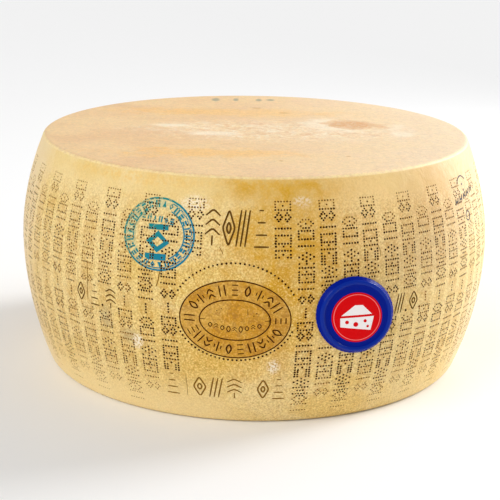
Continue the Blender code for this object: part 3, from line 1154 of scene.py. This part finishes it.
# Broader tints of the side: colour, strength, place and raggedness.
SIDE_TINTS = (
    # Painted shade high on the right.
    ("painted_shade_shoulder", 0.80, (58.0, 0.197, 0.085, 0.036), 0.6),
    ("cream", 0.85, (25.0, 0.184, 0.042, 0.034), 0.6),
    ("pale", 0.60, (-38.0, 0.070, 0.070, 0.030), 0.8),
)
# Places on the top: x, y, half width and half depth.
PALE_SMEARS = ((-0.080, 0.016, 0.018, 0.007), (0.137, -0.010, 0.010, 0.012), (-0.040, -0.020, 0.022, 0.009))
INK_BLOTS = (
    (-0.0435, 0.1670, 0.0038, 0.0088),
    (-0.0220, 0.1680, 0.0026, 0.0075),
    (0.0027, 0.1690, 0.0030, 0.0065),
    (0.0150, 0.1700, 0.0040, 0.0055),
)
BROWN_SPECKS = (
    (0.0, 0.118, 0.0045, 0.0025),
    (0.028, 0.093, 0.0052, 0.0025),
    (0.080, -0.113, 0.002, 0.002),
    (0.022, -0.136, 0.002, 0.002),
)


class RindSheet(Sheet):
    """The rind's material, with the noises and places that its colours share."""

    def __init__(self, name):
        super().__init__(name)
        self.tint = settings("colours")
        self.shape = settings("shape")
        self.x, self.y, self.z = self.axes()
        self.angle = self.x.math("ARCTAN2", -self.y)
        self.around = self.angle * self.shape.widest_radius
        self.cloud = self.noise(0.022, 4.0, 0.6, 0.5)
        self.ragged = self.noise(0.018, 3.0)
        self.speckle = self.noise(0.0015, 2.0, 0.6)
        self.fine = self.noise(0.0042, 3.0, 0.7, 0.3)
        self.smear = self.noise(0.024, 5.0, 0.65, 1.0)
        self.unseen = self.smooth(self.angle.math("ABSOLUTE"), 1.2, 1.7)

    def spot(self, degrees, height, half_width, half_height, soft, ragged):
        """1 inside an oval place on the side, 0 outside."""
        wide = (self.around - math.radians(degrees) * self.shape.widest_radius) / half_width
        tall = (self.z - height) / half_height
        far = (wide * wide + tall * tall).math("SQRT") + (self.ragged - 0.5) * ragged
        return 1 - self.smooth(far, 1 - soft, 1 + soft)

    def spots(self, places, soft, ragged):
        """1 inside any of the places, 0 outside."""
        return functools.reduce(Signal.most, [self.spot(*place, soft, ragged) for place in places])

    def top_far(self, middle_x, middle_y, half_x, half_y, ragged):
        """Distance from a place of the top, 1 on the oval of this size."""
        wide = (self.x - middle_x) / half_x
        tall = (self.y - middle_y) / half_y
        return (wide * wide + tall * tall).math("SQRT") + (self.smear - 0.5) * ragged

    def top_spot(self, *place):
        return 1 - self.smooth(self.top_far(*place), 0.5, 1.5)


def tinted_side(sheet, field):
    """Colour of the side with its broad patches, and how oily it is. `field` is 1 in the oval."""
    tint, cloud = sheet.tint, sheet.cloud
    broad = sheet.noise(0.11, 3.0, 0.55, 0.4)
    paler = broad + (cloud - 0.5) * 0.5 + sheet.smooth(sheet.angle, 0.35, 0.65) * 0.12
    side = sheet.mix(tint.gold, tint.pale, sheet.smooth(paler, 0.36, 0.64))
    blotch = sheet.smooth(cloud, 0.42, 0.62)
    oily = sheet.smooth(broad * 0.5 + cloud * 0.5 + sheet.unseen * 0.10, 0.56, 0.72)
    oily = oily * (0.35 + sheet.unseen * 0.45)
    for place, strength in zip(OCHRE_PLACES, OCHRE_STRENGTHS):
        oily = oily.most(sheet.spot(*place, 0.6, 1.4) * (0.5 + blotch * 0.5) * strength)
    side = sheet.mix(side, tint.ochre, oily)
    side = sheet.mix(side, tint.tan, sheet.spot(40.0, 0.156, 0.070, 0.034, 0.6, 1.2) * 0.55)
    edge_band = sheet.spots(EDGE_BANDS, 0.5, 0.8) * (0.1 + sheet.smooth(sheet.fine, 0.42, 0.60) * 0.5)
    side = sheet.mix(side, tint.edge_gold, edge_band)
    for name, strength, place, ragged in SIDE_TINTS:
        side = sheet.mix(side, getattr(tint, name), sheet.spot(*place, 0.6, ragged) * strength)
    return sheet.mix(side, tint.toast, field * (0.6 + blotch * 0.4)), oily


def column_stain(sheet, first, step):
    """1 along the middle of each column of pricks."""
    share = ((sheet.angle - first) / step + 0.5).math("FRACT") - 0.5
    across = share.math("ABSOLUTE") * abs(step) * sheet.shape.widest_radius
    return 1 - sheet.smooth(across, 0.0045, 0.0085)


def stained_side(sheet, side):
    """Darkens the side along the columns of pricks."""
    angle, z = sheet.angle, sheet.z
    pattern = settings("pricks")
    left = column_stain(sheet, pattern.left_start, pattern.left_step)
    right = column_stain(sheet, pattern.right_start, pattern.right_step)
    stain = left * (1 - sheet.smooth(angle, -0.27, -0.25)) + right * sheet.smooth(angle, 0.06, 0.08)
    stain = stain * sheet.smooth(z, 0.012, 0.050) * (1 - sheet.smooth(z, 0.170, 0.200))
    return sheet.mix(side, sheet.tint.shadow_grain, stain * sheet.smooth(sheet.fine, 0.30, 0.60) * 0.36)


def inked_side(sheet, side):
    """Pales the rind under the ring stamp and soaks ink into its left part."""
    ink = settings("ink")
    radius, place = ink.stamp_radius, (math.degrees(ink.stamp_angle), ink.stamp_height)
    under = sheet.spot(*place, radius * ink.stretch, radius, 0.03, 0.0)
    inside_ring = sheet.spot(*place, radius * 0.72, radius * 0.69, 0.06, 0.0)
    across = (sheet.angle - ink.stamp_angle) * -sheet.shape.widest_radius
    to_left = (across + sheet.z - ink.stamp_height) / radius
    soaked = under * (1 - inside_ring) * sheet.smooth(to_left + (sheet.cloud - 0.5) * 3.0, -0.4, 1.0)
    side = sheet.mix(side, sheet.tint.pale, under * 0.45)
    return sheet.mix(side, ink.wash, soaked * sheet.smooth(sheet.fine, 0.30, 0.60) * 0.60)


def grained_side(sheet, side, field):
    """Adds the fine grain, which is calmer high up and on the right, and the flecks of the oval."""
    tint, speckle, fine = sheet.tint, sheet.speckle, sheet.fine
    calm = 1 - 0.75 * sheet.smooth(sheet.z, 0.180, 0.202) - 0.3 * sheet.smooth(sheet.angle, 0.35, 0.70)
    side = sheet.scaled(side, 1.0 + ((speckle - 0.5) * 0.9 + (fine - 0.5) * 0.5) * calm)
    side = sheet.mix(side, tint.grain, sheet.smooth(speckle, 0.52, 0.66) * calm * (0.50 - field * 0.34))
    side = sheet.mix(side, tint.deep_grain, (1 - sheet.smooth(speckle, 0.36, 0.48)) * calm * 0.40)
    side = sheet.mix(side, tint.burnt, field * (1 - sheet.smooth(fine, 0.38, 0.54)) * 0.35)
    return sheet.mix(side, tint.shadow_grain, sheet.smooth(fine, 0.54, 0.74) * calm * 0.45)


def marked_side(sheet, side):
    """Adds the greyish smudges and the small chalky smears."""
    side = sheet.mix(side, settings("ink").smudge, sheet.spots(SMUDGES, 0.6, 0.8) * 0.25)
    chalk = sheet.spots(CHALK_MARKS, 0.5, 1.2)
    return sheet.mix(side, sheet.tint.chalk, chalk * sheet.smooth(sheet.speckle, 0.40, 0.56) * 0.85)


def pale_ends_and_painted_light(sheet, side, oily):
    """Pales the upper and lower ends, the lower one as painted light, warms the rind round the upper marks
    and pales the far sides, partly as painted sheen.
    """
    tint, angle, z = sheet.tint, sheet.angle, sheet.z
    # Painted light: the lower end, most of all on the left, is paled to lift the shade near the floor.
    painted_foot_light = (1 - sheet.smooth(z, 0.006, 0.060)) * (1 - 0.8 * sheet.smooth(angle, -0.20, 0.10))
    ends = painted_foot_light.most(sheet.smooth(z, 0.150, 0.205) * 0.5)
    ends = ends * (1 - 0.7 * sheet.smooth(angle, 0.15, 0.55) * sheet.smooth(z, 0.120, 0.150))
    side = sheet.mix(side, tint.end, ends * (1 - oily) * 0.7)
    warm = sheet.spot(8.0, 0.172, 0.048, 0.042, 0.6, 1.0)
    side = sheet.mix(side, tint.oily, warm * (0.26 + sheet.smooth(sheet.fine, 0.44, 0.60) * 0.30))
    # Partly painted sheen: near the outline the far left and far right are paled as grazing light leaves
    # them, partly paler rind, with less of it round the back.
    far_left_pale_and_sheen = 1 - sheet.smooth(angle, -1.25, -0.98)
    far_right_pale_and_sheen = sheet.smooth(angle, 0.95, 1.2) * (1 - sheet.smooth(z, 0.07, 0.12))
    return sheet.mix(side, tint.far, far_left_pale_and_sheen.most(far_right_pale_and_sheen) * (1 - sheet.unseen * 0.6) * 0.55)


def top_colour(sheet):
    """Pale, slightly pink top with warmer bands, a worn middle, a ringed stain and small marks."""
    tint, smear, fine = sheet.tint, sheet.smear, sheet.fine
    wide_smear = sheet.noise(0.070, 3.0, 0.5, 0.6)
    fleck = sheet.noise(0.009, 5.0, 0.75, 0.8)
    top = sheet.mix(tint.top, tint.top_blush, sheet.smooth(wide_smear, 0.36, 0.66) * 0.7)
    warm = sheet.top_spot(-0.02, 0.092, 0.110, 0.020, 2.4)
    warm = warm.most(sheet.top_spot(-0.03, -0.108, 0.075, 0.018, 2.8))
    top = sheet.mix(top, tint.top_warm, warm * 0.8)
    # Painted light: the top grows paler towards the right, where the lamps light it most.
    painted_glare_to_right = sheet.smooth(sheet.x + (wide_smear - 0.5) * 0.2, -0.08, 0.26)
    top = sheet.mix(top, tint.top_smear_and_glare, painted_glare_to_right * 0.65)
    worn = sheet.top_spot(0.020, -0.002, 0.115, 0.046, 0.6)
    top = sheet.mix(top, tint.top_smear_and_glare, worn * (0.15 + sheet.smooth(smear, 0.46, 0.62) * 0.35))
    top = sheet.mix(top, tint.top_tan, worn * (1 - sheet.smooth(fleck, 0.36, 0.50)) * 0.55)
    top = sheet.mix(top, tint.top_smear_and_glare, worn * sheet.smooth(fleck, 0.52, 0.62) * 0.9)
    stain = sheet.top_far(0.094, 0.034, 0.034, 0.026, 1.5)
    edge = sheet.smooth(stain, 0.75, 1.1) * (1 - sheet.smooth(stain, 1.15, 1.7))
    top = sheet.mix(top, tint.top_smear_and_glare, edge * sheet.smooth(wide_smear, 0.42, 0.56) * 0.8)
    inside = (1 - sheet.smooth(stain, 0.4, 1.1)) * (0.5 + sheet.smooth(fine, 0.4, 0.6) * 0.5)
    top = sheet.mix(top, tint.top_tan, inside)
    for places, mark, ragged, strength in (
        (PALE_SMEARS, tint.top_smear_and_glare, 1.2, 0.8),
        (INK_BLOTS, settings("ink").blot, 1.4, 0.6),
        (BROWN_SPECKS, tint.shadow_grain, 1.4, 0.5),
    ):
        for place in places:
            top = sheet.mix(top, mark, sheet.top_spot(*place, ragged) * strength)
    return sheet.scaled(top, 1.0 + (sheet.speckle - 0.5) * 0.36 + (fine - 0.5) * 0.42)


def rim_wear_and_highlight(sheet):
    """How far the upper edge is pale, from 0 to 1: partly wear, partly a painted highlight on the rounded
    edge.
    """
    x, y, z, height, radius = sheet.x, sheet.y, sheet.z, sheet.shape.height, sheet.shape.top_radius
    rim = sheet.smooth(z, height - 0.0026, height - 0.0018)
    rim = rim * (1 - sheet.smooth(z, height - 0.0009, height - 0.0003))
    rim = rim * sheet.smooth((x * x + y * y).math("SQRT"), radius - 0.006, radius - 0.004)
    return rim * (0.25 + sheet.smooth(sheet.fine, 0.40, 0.62) * 0.45)


def rind_material():
    """Waxy aged rind on the side, and the paler scuffed top."""
    marks, height = settings("marks"), settings("shape").height
    sheet = RindSheet("aged_rind")
    oval = (math.degrees(marks.oval_angle), marks.oval_height, marks.oval_half_width, marks.oval_half_height)
    field = sheet.spot(*oval, 0.03, 0.0)
    side, oily = tinted_side(sheet, field)
    side = inked_side(sheet, stained_side(sheet, side))
    side = marked_side(sheet, grained_side(sheet, side, field))
    side = pale_ends_and_painted_light(sheet, side, oily)
    base = sheet.mix(side, top_colour(sheet), sheet.smooth(sheet.z, height - 0.0030, height - 0.0008))
    base = sheet.mix(base, sheet.tint.rim, rim_wear_and_highlight(sheet))
    normal = sheet.bump(sheet.cloud, 0.25, 0.004)
    normal = sheet.bump(sheet.speckle * 0.35 + sheet.fine * 0.65, 0.35, 0.0006, normal)
    return sheet.finish(
        Base_Color=base,
        Roughness=0.52 + (sheet.fine - 0.5) * 0.35,
        Normal=normal,
        Subsurface_Weight=0.12,
        Subsurface_Radius=(0.9, 0.5, 0.2),
        Subsurface_Scale=0.004,
        Specular_IOR_Level=0.4,
    )


BAKE_STRIPS = 3
BAKE_GAP = 0.004
BAKE_STRETCH = 1.07
PATCH_RADIUS = 0.008
PATCH_STEP = 0.03
PATCH_X = 0.965


def lay_bake_map(mesh):
    """UV map for the wheel: strips of the side one over another, with the top and foot beside them.

    The cut faces of each material lie on one small round patch of their own.
    """
    shape = settings("shape")
    tall = shape.height * BAKE_STRETCH
    turned = math.tau / BAKE_STRIPS
    strip = math.tau * shape.widest_radius / BAKE_STRIPS
    disc_size = shape.top_radius * 2
    side = strip + disc_size + 3 * BAKE_GAP
    layer = mesh.uv_layers.new(name="OFBake")
    for face in mesh.polygons:
        middle = face.center
        angle = math.atan2(middle.x, -middle.y)
        row = min(int((angle + math.pi) / turned), BAKE_STRIPS - 1)
        is_flat = abs(face.normal.z) > 0.75 and math.hypot(middle.x, middle.y) < shape.top_radius
        for loop in face.loop_indices:
            point = mesh.vertices[mesh.loops[loop].vertex_index].co
            if face.material_index:
                t = (loop - face.loop_start) * 2.0
                u = PATCH_X + PATCH_RADIUS * math.cos(t)
                v = PATCH_STEP * (1 + face.material_index) + PATCH_RADIUS * math.sin(t)
            elif is_flat:
                level = 0.5 if face.normal.z > 0 else 1.5
                u = (strip + 2 * BAKE_GAP + disc_size / 2 + point.x) / side
                v = ((disc_size + BAKE_GAP) * level + BAKE_GAP + point.y) / side
            else:
                here = math.atan2(point.x, -point.y)
                if abs(here - angle) > math.pi:
                    here -= math.copysign(math.tau, here - angle)
                share = (here + math.pi) / turned - row
                u = (BAKE_GAP + share * (strip - 2 * BAKE_GAP)) / side
                v = (BAKE_GAP + row * (tall + BAKE_GAP) + point.z) / side
            layer.data[loop].uv = (u, v)


class CHEESE_OT_rind(Operator):
    """Build the wheel with its pin pricks and pressed marks"""

    bl_idname = "cheese.rind"
    bl_label = "Rind"

    def execute(self, context):
        tint, marks, pattern = settings("colours"), settings("marks"), settings("pricks")
        bare = bare_wheel()
        bare.materials.append(rind_material())
        rind = new_object("wheel_rind", bare.copy())
        pricks = all_pricks()
        deep = [p for p in pricks if p[2] > pattern.faint_below]
        faint = [p for p in pricks if p[2] <= pattern.faint_below]
        # The dark and faint prick colours are painted shade inside the pits, along with darker residue
        # there.
        dark = plain_material("pricked_dark", tint.prick, 0.8, 0.1)
        light = plain_material("pricked_faint", tint.faint_prick, 0.75, 0.1)
        scorch = plain_material("scorched_groove", tint.scorch, 0.8, 0.1)
        # The pressed and shallow groove colours are partly painted shade in the grooves.
        pressed = plain_material("pressed_groove", tint.pressed, 0.7, 0.1)
        shallow = plain_material("shallow_groove", tint.shallow, 0.7, 0.1)
        tall = mark_lines(TALL_MARKS, TALL_HEIGHTS, marks.tall_width)
        tall += mark_lines(WAIST_MARKS, WAIST_HEIGHTS, marks.small_width)
        low = mark_lines(FOOT_MARKS, FOOT_HEIGHTS, marks.small_width)
        for cutter in (
            prick_cones("deep_pricks", deep, 1.0, dark),
            prick_cones("faint_pricks", faint, pattern.faint_share, light),
            stroke_tubes("oval_grooves", ring_lines() + band_lines() + eye_lines(), scorch),
            stroke_tubes("mark_grooves", tall, pressed),
            stroke_tubes("foot_grooves", low, shallow),
            stroke_tubes("scratches", scratch_lines(), shallow),
        ):
            cut_away(rind, cutter)
            remove_object(cutter)
        keep_smooth(rind.data, bare, 0)
        lay_bake_map(rind.data)
        settle(rind, "rind", "cheese_wheel")
        return {"FINISHED"}


def badge_profile():
    """(radius, thickness) points from the middle of the face, over bead and edge, to the back."""
    badge = settings("badge")
    inner, thick = badge.face_radius, badge.face_thickness
    rise = badge.bead_thickness - thick
    points = [(inner * i / 8, thick) for i in range(9)]
    for degrees in range(165, 10, -15):
        t = math.radians(degrees)
        points.append((badge.bead_radius + badge.bead_half_width * math.cos(t), thick + rise * math.sin(t)))
    for inwards, up in ((0.0007, 0.0006), (0.0001, 0.0002), (0.0, -0.0002)):
        points.append((badge.radius - inwards, badge.edge_thickness + up))
    points.append((badge.radius, 0.0))
    points += [(inner * i / 6, 0.0) for i in range(6, -1, -1)]
    return points


def on_badge(x, y, out):
    """Point of the badge from its flat drawing, laid round the rind."""
    badge = settings("badge")
    axis = Vector((math.cos(badge.long_axis), math.sin(badge.long_axis)))
    flat = Vector((x, y)) * (1 - badge.ovalness)
    flat += axis * axis.dot(flat) * 2 * badge.ovalness
    angle = badge.angle + flat.x / side_radius(badge.height)
    return on_rind(angle, badge.height + flat.y, badge.gap + out)


def flat_on_rind(angle, height, stretch):
    """Laying-out function for a flat drawing whose middle is at this place of the side."""
    radius = side_radius(height)
    return lambda x, y, out: on_rind(angle + x * stretch / radius, height + y, out)


def ink_material(name, first, second, fade, cover):
    """Ink that changes along the side's (right, up) direction `fade` and is worn through in places.

    `cover` says how much of it is left, and how much more where it is fresh.
    """
    ink = settings("ink")
    sheet = Sheet(name)
    x, y, z = sheet.axes()
    across = (x.math("ARCTAN2", -y) - ink.stamp_angle) * settings("shape").widest_radius
    along = (across * fade[0] + (z - ink.stamp_height) * fade[1]) / ink.stamp_radius
    fresh = sheet.smooth(along + (sheet.noise(0.012, 2.0) - 0.5) * 0.8, -0.7, 0.9)
    blots = sheet.noise(0.0022, 3.0, 0.7)
    left = sheet.smooth(blots + fresh * cover[1], 0.56 - cover[0], 0.70 - cover[0])
    base = sheet.mix(settings("colours").gold, sheet.mix(first, second, fresh), left)
    return sheet.finish(Base_Color=base, Roughness=0.5, Specular_IOR_Level=0.2)


# Small printed figures about 1.2 wide and 1.9 high.
FIGURES = {
    "posts": [bar(u, 0, 0.46, 1.9, step=1.0) for u in (-0.40, 0.40)],
    "rungs": [bar(0, v, 1.2, 0.50, step=1.0) for v in (-0.72, 0.0, 0.72)],
    "post_dots": [bar(-0.38, 0, 0.46, 1.9, step=1.0)] + [disc(0.30, v, 0.32, 8) for v in (-0.5, 0.5)],
    "ring": [
        [Vector(c) for c in ((0, -0.95), (0.6, 0), (0, 0.95), (-0.6, 0))],
        [Vector(c) for c in ((0, -0.38), (0.20, 0), (0, 0.38), (-0.20, 0))],
    ],
    "wedge": [[Vector(c) for c in ((-0.55, -0.8), (0.55, -0.8), (0, 0.9))]],
}
STAMP_KINDS = ("posts", "ring", "rungs", "post_dots", "wedge", "posts", "rungs")
STAMP_ROW = ("rungs", "posts", "wedge", "posts", "ring", "rungs")
STAMP_FIGURES = 26


def figure_loops(kind, middle, turned, size):
    """Outlines of one small printed figure."""
    twist = Matrix.Rotation(turned, 2)
    return [[middle + twist @ (p * size) for p in loop] for loop in FIGURES[kind]]


def stamp_loops():
    """Outlines of the ring stamp: its rings, the figures between them and the one in the middle."""
    ink = settings("ink")
    radius, line = ink.stamp_radius, ink.line
    loops = [disc(0, 0, radius, 120), disc(0, 0, radius - line, 120)]
    loops.append(arc_band(0, radius - 2.0 * line, radius - 1.45 * line, -125, 70))
    loops.append(arc_band(0, radius * 0.695, radius * 0.73, -62, 64))
    loops.append(arc_band(0, radius * 0.70, radius * 0.73, 120, 196))
    for i in range(STAMP_FIGURES):
        turned = math.tau * i / STAMP_FIGURES
        spot = Vector((math.cos(turned), math.sin(turned))) * radius * 0.830
        kind = STAMP_KINDS[(i * 3) % len(STAMP_KINDS)]
        loops += figure_loops(kind, spot, turned - math.pi / 2, radius * 0.100)
    loops += [bar(-0.0002, 0.0060, 0.0164, 0.0044, 0.04), bar(-0.0010, -0.0178, 0.0170, 0.0052, 0.04)]
    for grow in (0.0, 0.0048):
        wide, tall = 0.0096 - grow, 0.0088 - grow
        loops.append(polygon([(-wide, -0.0056), (0, -0.0056 - tall), (wide, -0.0056), (0, -0.0056 + tall)]))
    for i, kind in enumerate(STAMP_ROW):
        spot = Vector((-0.0132 + i * 0.0047, 0.0140 - 0.0006 * i))
        loops += figure_loops(kind, spot, -0.12, 0.0025)
    return roughened(loops, 0.00013, 5)


def edge_loops():
    """Outlines of the dark mark near the right edge: two bars of dashes, two arcs and two dots."""
    loops = [
        arc_band(0.003, 0.0105, 0.0115, 40, 150),
        disc(-0.0005, 0.0072, 0.0010, 12),
        disc(0.0006, 0.0022, 0.0010, 12),
        arc_band(-0.020, 0.0035, 0.0045, -160, 185),
    ]
    loops += [bar(-0.019 + i * 0.0042, -0.0052 + 0.0006 * i, 0.0013, 0.0052, -0.35) for i in range(10)]
    loops += [bar(-0.017 + i * 0.0084, -0.0052 + 0.0012 * i, 0.0034, 0.0012, 0.1) for i in range(4)]
    return roughened(loops, 0.00012, 8)


INK_REACH = 0.034
INK_SINK = 0.0002
INK_SPACING = 0.004


class CHEESE_OT_ink(Operator):
    """Print the ring stamp and the smaller ink marks"""

    bl_idname = "cheese.ink"
    bl_label = "Ink"

    def execute(self, context):
        ink = settings("ink")
        bare = bare_wheel()
        pricks = all_pricks()
        stamp_ink = ink_material("stamp_ink", ink.teal, ink.blue, (0.75, -0.66), (0.20, 0.42))
        dark_ink = ink_material("dark_ink", ink.dark, ink.dark, (0.0, 0.0), (0.32, 0.0))
        for name, loops, angle, height, stretch, material in (
            ("ring_stamp", stamp_loops(), ink.stamp_angle, ink.stamp_height, ink.stretch, stamp_ink),
            ("edge_mark", edge_loops(), ink.edge_angle, ink.edge_height, 1.0, dark_ink),
        ):
            place = flat_on_rind(angle, height, stretch)
            mark = thin_sheet(name, loops, place, ink.lift, INK_SINK, INK_SPACING)
            mark.data.materials.append(material)
            radius = side_radius(height)
            near = [p for p in pricks if math.hypot((p[0] - angle) * radius, p[1] - height) < INK_REACH]
            cutter = prick_cones(name + "_pricks", near, 1.0, material)
            cut_away(mark, cutter)
            remove_object(cutter)
            keep_smooth(mark.data, bare, 0)
            settle(mark, "rind")
        return {"FINISHED"}


BADGE_STEPS = 224
NOTCHES = 56
NOTCH_DEPTH = 0.008
NOTCH_RIM = 0.0008
SHARP_DEGREES = 50
PRINT_Y = -0.0010
PRINT_SINK = 0.0003
PRINT_SPACING = 0.003
LOW_LIFT = 0.00010
HIGH_LIFT = 0.00018
FIELD_RADIUS = 0.0224
# Radii of the thin pink ring, a painted highlight.
HIGHLIGHT_RING_OUTER = 0.0209
HIGHLIGHT_RING_INNER = 0.0202
PRINT_STEPS = 80
WEDGE_FRONT = ((-0.0150, -0.0080), (0.0118, -0.0118), (0.0148, 0.0008), (-0.0150, 0.0000))
WEDGE_TOP = ((-0.0142, 0.0020), (0.0130, 0.0028), (0.0046, 0.0112), (-0.0022, 0.0112))
# Holes in the wedge's front: x, y and radius.
WEDGE_HOLES = (
    (-0.0092, -0.0038, 0.0017),
    (-0.0016, -0.0060, 0.0022),
    (0.0068, -0.0032, 0.0015),
    (0.0092, -0.0082, 0.0012),
)


def badge_body():
    """The badge with its raised bead and finely notched edge, bent round the rind."""
    badge = settings("badge")
    mesh = turned_mesh("badge_body", badge_profile(), BADGE_STEPS)
    mesh.materials.append(plain_material("badge_blue", badge.blue, 0.25, 0.04))
    # The bead's lower roughness is real gloss. Its lighter blue is a painted highlight.
    mesh.materials.append(plain_material("badge_bead", badge.bead, 0.16, 0.12))
    for face in mesh.polygons:
        radius = math.hypot(face.center.x, face.center.y)
        if abs(radius - badge.bead_radius) < badge.bead_half_width and face.center.z > badge.face_thickness:
            face.material_index = 1
    for vertex in mesh.vertices:
        x, y, out = vertex.co
        if math.hypot(x, y) > badge.radius - NOTCH_RIM:
            notch = 1 - NOTCH_DEPTH * (0.5 + 0.5 * math.cos(NOTCHES * math.atan2(y, x)))
            x, y = x * notch, y * notch
        vertex.co = on_badge(x, y, out)
    mesh.shade_smooth()
    mesh.set_sharp_from_angle(angle=math.radians(SHARP_DEGREES))
    return new_object("badge_body", mesh)


class CHEESE_OT_badge(Operator):
    """Build the moulded badge and its print"""

    bl_idname = "cheese.badge"
    bl_label = "Badge"

    def execute(self, context):
        badge = settings("badge")
        body = badge_body()
        settle(body, "badge", "seal_badge")
        field = [disc(0, 0, FIELD_RADIUS, PRINT_STEPS)]
        # The thin pink ring is a painted highlight drawn as print.
        line = [disc(0, 0, radius, PRINT_STEPS) for radius in (HIGHLIGHT_RING_OUTER, HIGHLIGHT_RING_INNER)]
        wedge = [polygon(WEDGE_FRONT), polygon(WEDGE_TOP)]
        wedge += [disc(x, y, radius, 16) for x, y, radius in WEDGE_HOLES]

        def place(x, y, out):
            return on_badge(x, y + PRINT_Y, badge.face_thickness + out)

        for name, loops, tint, lift in (
            ("print_field", field, badge.red, LOW_LIFT),
            ("print_line", line, badge.pink, HIGH_LIFT),
            ("print_wedge", wedge, badge.white, HIGH_LIFT),
        ):
            layer = thin_sheet(name, loops, place, lift, PRINT_SINK, PRINT_SPACING)
            layer.data.materials.append(plain_material(name, tint, 0.25, 0.06))
            keep_smooth(layer.data, body.data, 0)
            settle(layer, "badge")
        return {"FINISHED"}


FLOOR_REACH = 15
SIDE_LIGHT_SIZE = 0.8
SIDE_LIGHT_PLACE = (1.11, 0.59, 0.42)
SIDE_LIGHT_AIM = (0, 0, 0.1)
SENSOR_WIDTH = 36.0


class CHEESE_OT_stage(Operator):
    """Set the floor, the lights and the camera"""

    bl_idname = "cheese.stage"
    bl_label = "Stage"

    def execute(self, context):
        stage = settings("stage")
        floor_mesh = bpy.data.meshes.new("floor")
        corners = [(x * FLOOR_REACH, y * FLOOR_REACH, 0) for x, y in ((-1, -1), (1, -1), (1, 1), (-1, 1))]
        floor_mesh.from_pydata(corners, [], [(0, 1, 2, 3)])
        floor_mesh.materials.append(plain_material("floor_pale", (stage.floor,) * 3, 0.9))
        new_object("floor", floor_mesh)

        world = bpy.data.worlds.new("even_light")
        context.scene.world = world
        world.use_nodes = True
        background = world.node_tree.nodes["Background"]
        background.inputs["Strength"].default_value = stage.world
        background.inputs["Color"].default_value = (1, 1, 1, 1)
        for name, strength, turned, raised, spread in (
            ("left_light", stage.left_light, -50, 36, 40),
            ("right_light", stage.right_light, 118, 26, 20),
        ):
            data = bpy.data.lights.new(name, "SUN")
            data.energy = strength
            data.angle = math.radians(spread)
            lamp = new_object(name, data)
            lamp.rotation_euler = (math.radians(90 - raised), 0.0, math.radians(turned))
        data = bpy.data.lights.new("side_light", "AREA")
        data.size = SIDE_LIGHT_SIZE
        data.energy = stage.side_light
        lamp = new_object("side_light", data)
        lamp.location = SIDE_LIGHT_PLACE
        aim = Vector(SIDE_LIGHT_AIM) - lamp.location
        lamp.rotation_euler = aim.to_track_quat("-Z", "Y").to_euler()

        data = bpy.data.cameras.new("camera")
        data.lens = stage.lens
        data.sensor_width = SENSOR_WIDTH
        camera = new_object("camera", data)
        camera.matrix_world = (
            Matrix.Translation((0.0, -stage.distance, stage.eye_height))
            @ Matrix.Rotation(stage.yaw, 4, "Z")
            @ Matrix.Rotation(math.pi / 2 - stage.pitch, 4, "X")
            @ Matrix.Rotation(stage.roll, 4, "Z")
        )
        context.scene.camera = camera
        context.scene.view_settings.view_transform = "Standard"
        return {"FINISHED"}


OPERATORS = (CHEESE_OT_stage, CHEESE_OT_rind, CHEESE_OT_ink, CHEESE_OT_badge)


class CHEESE_PT_panel(Panel):
    """Lists the steps that build the wheel"""

    bl_idname = "CHEESE_PT_panel"
    bl_label = "Cheese wheel"
    bl_space_type = "VIEW_3D"
    bl_region_type = "UI"
    bl_category = "Cheese"

    def draw(self, context):
        for operator in OPERATORS:
            self.layout.operator(operator.bl_idname)


def register():
    for group in SETTINGS.values():
        bpy.utils.register_class(group)
    for name, group in SETTINGS.items():
        setattr(bpy.types.Scene, "cheese_" + name, PointerProperty(type=group))
    for operator in OPERATORS:
        bpy.utils.register_class(operator)
    bpy.utils.register_class(CHEESE_PT_panel)


def unregister():
    bpy.utils.unregister_class(CHEESE_PT_panel)
    for operator in reversed(OPERATORS):
        bpy.utils.unregister_class(operator)
    for name, group in SETTINGS.items():
        delattr(bpy.types.Scene, "cheese_" + name)
        bpy.utils.unregister_class(group)


def main():
    register()
    bpy.ops.cheese.stage()
    bpy.ops.cheese.rind()
    bpy.ops.cheese.ink()
    bpy.ops.cheese.badge()


if __name__ == "__main__":
    main()
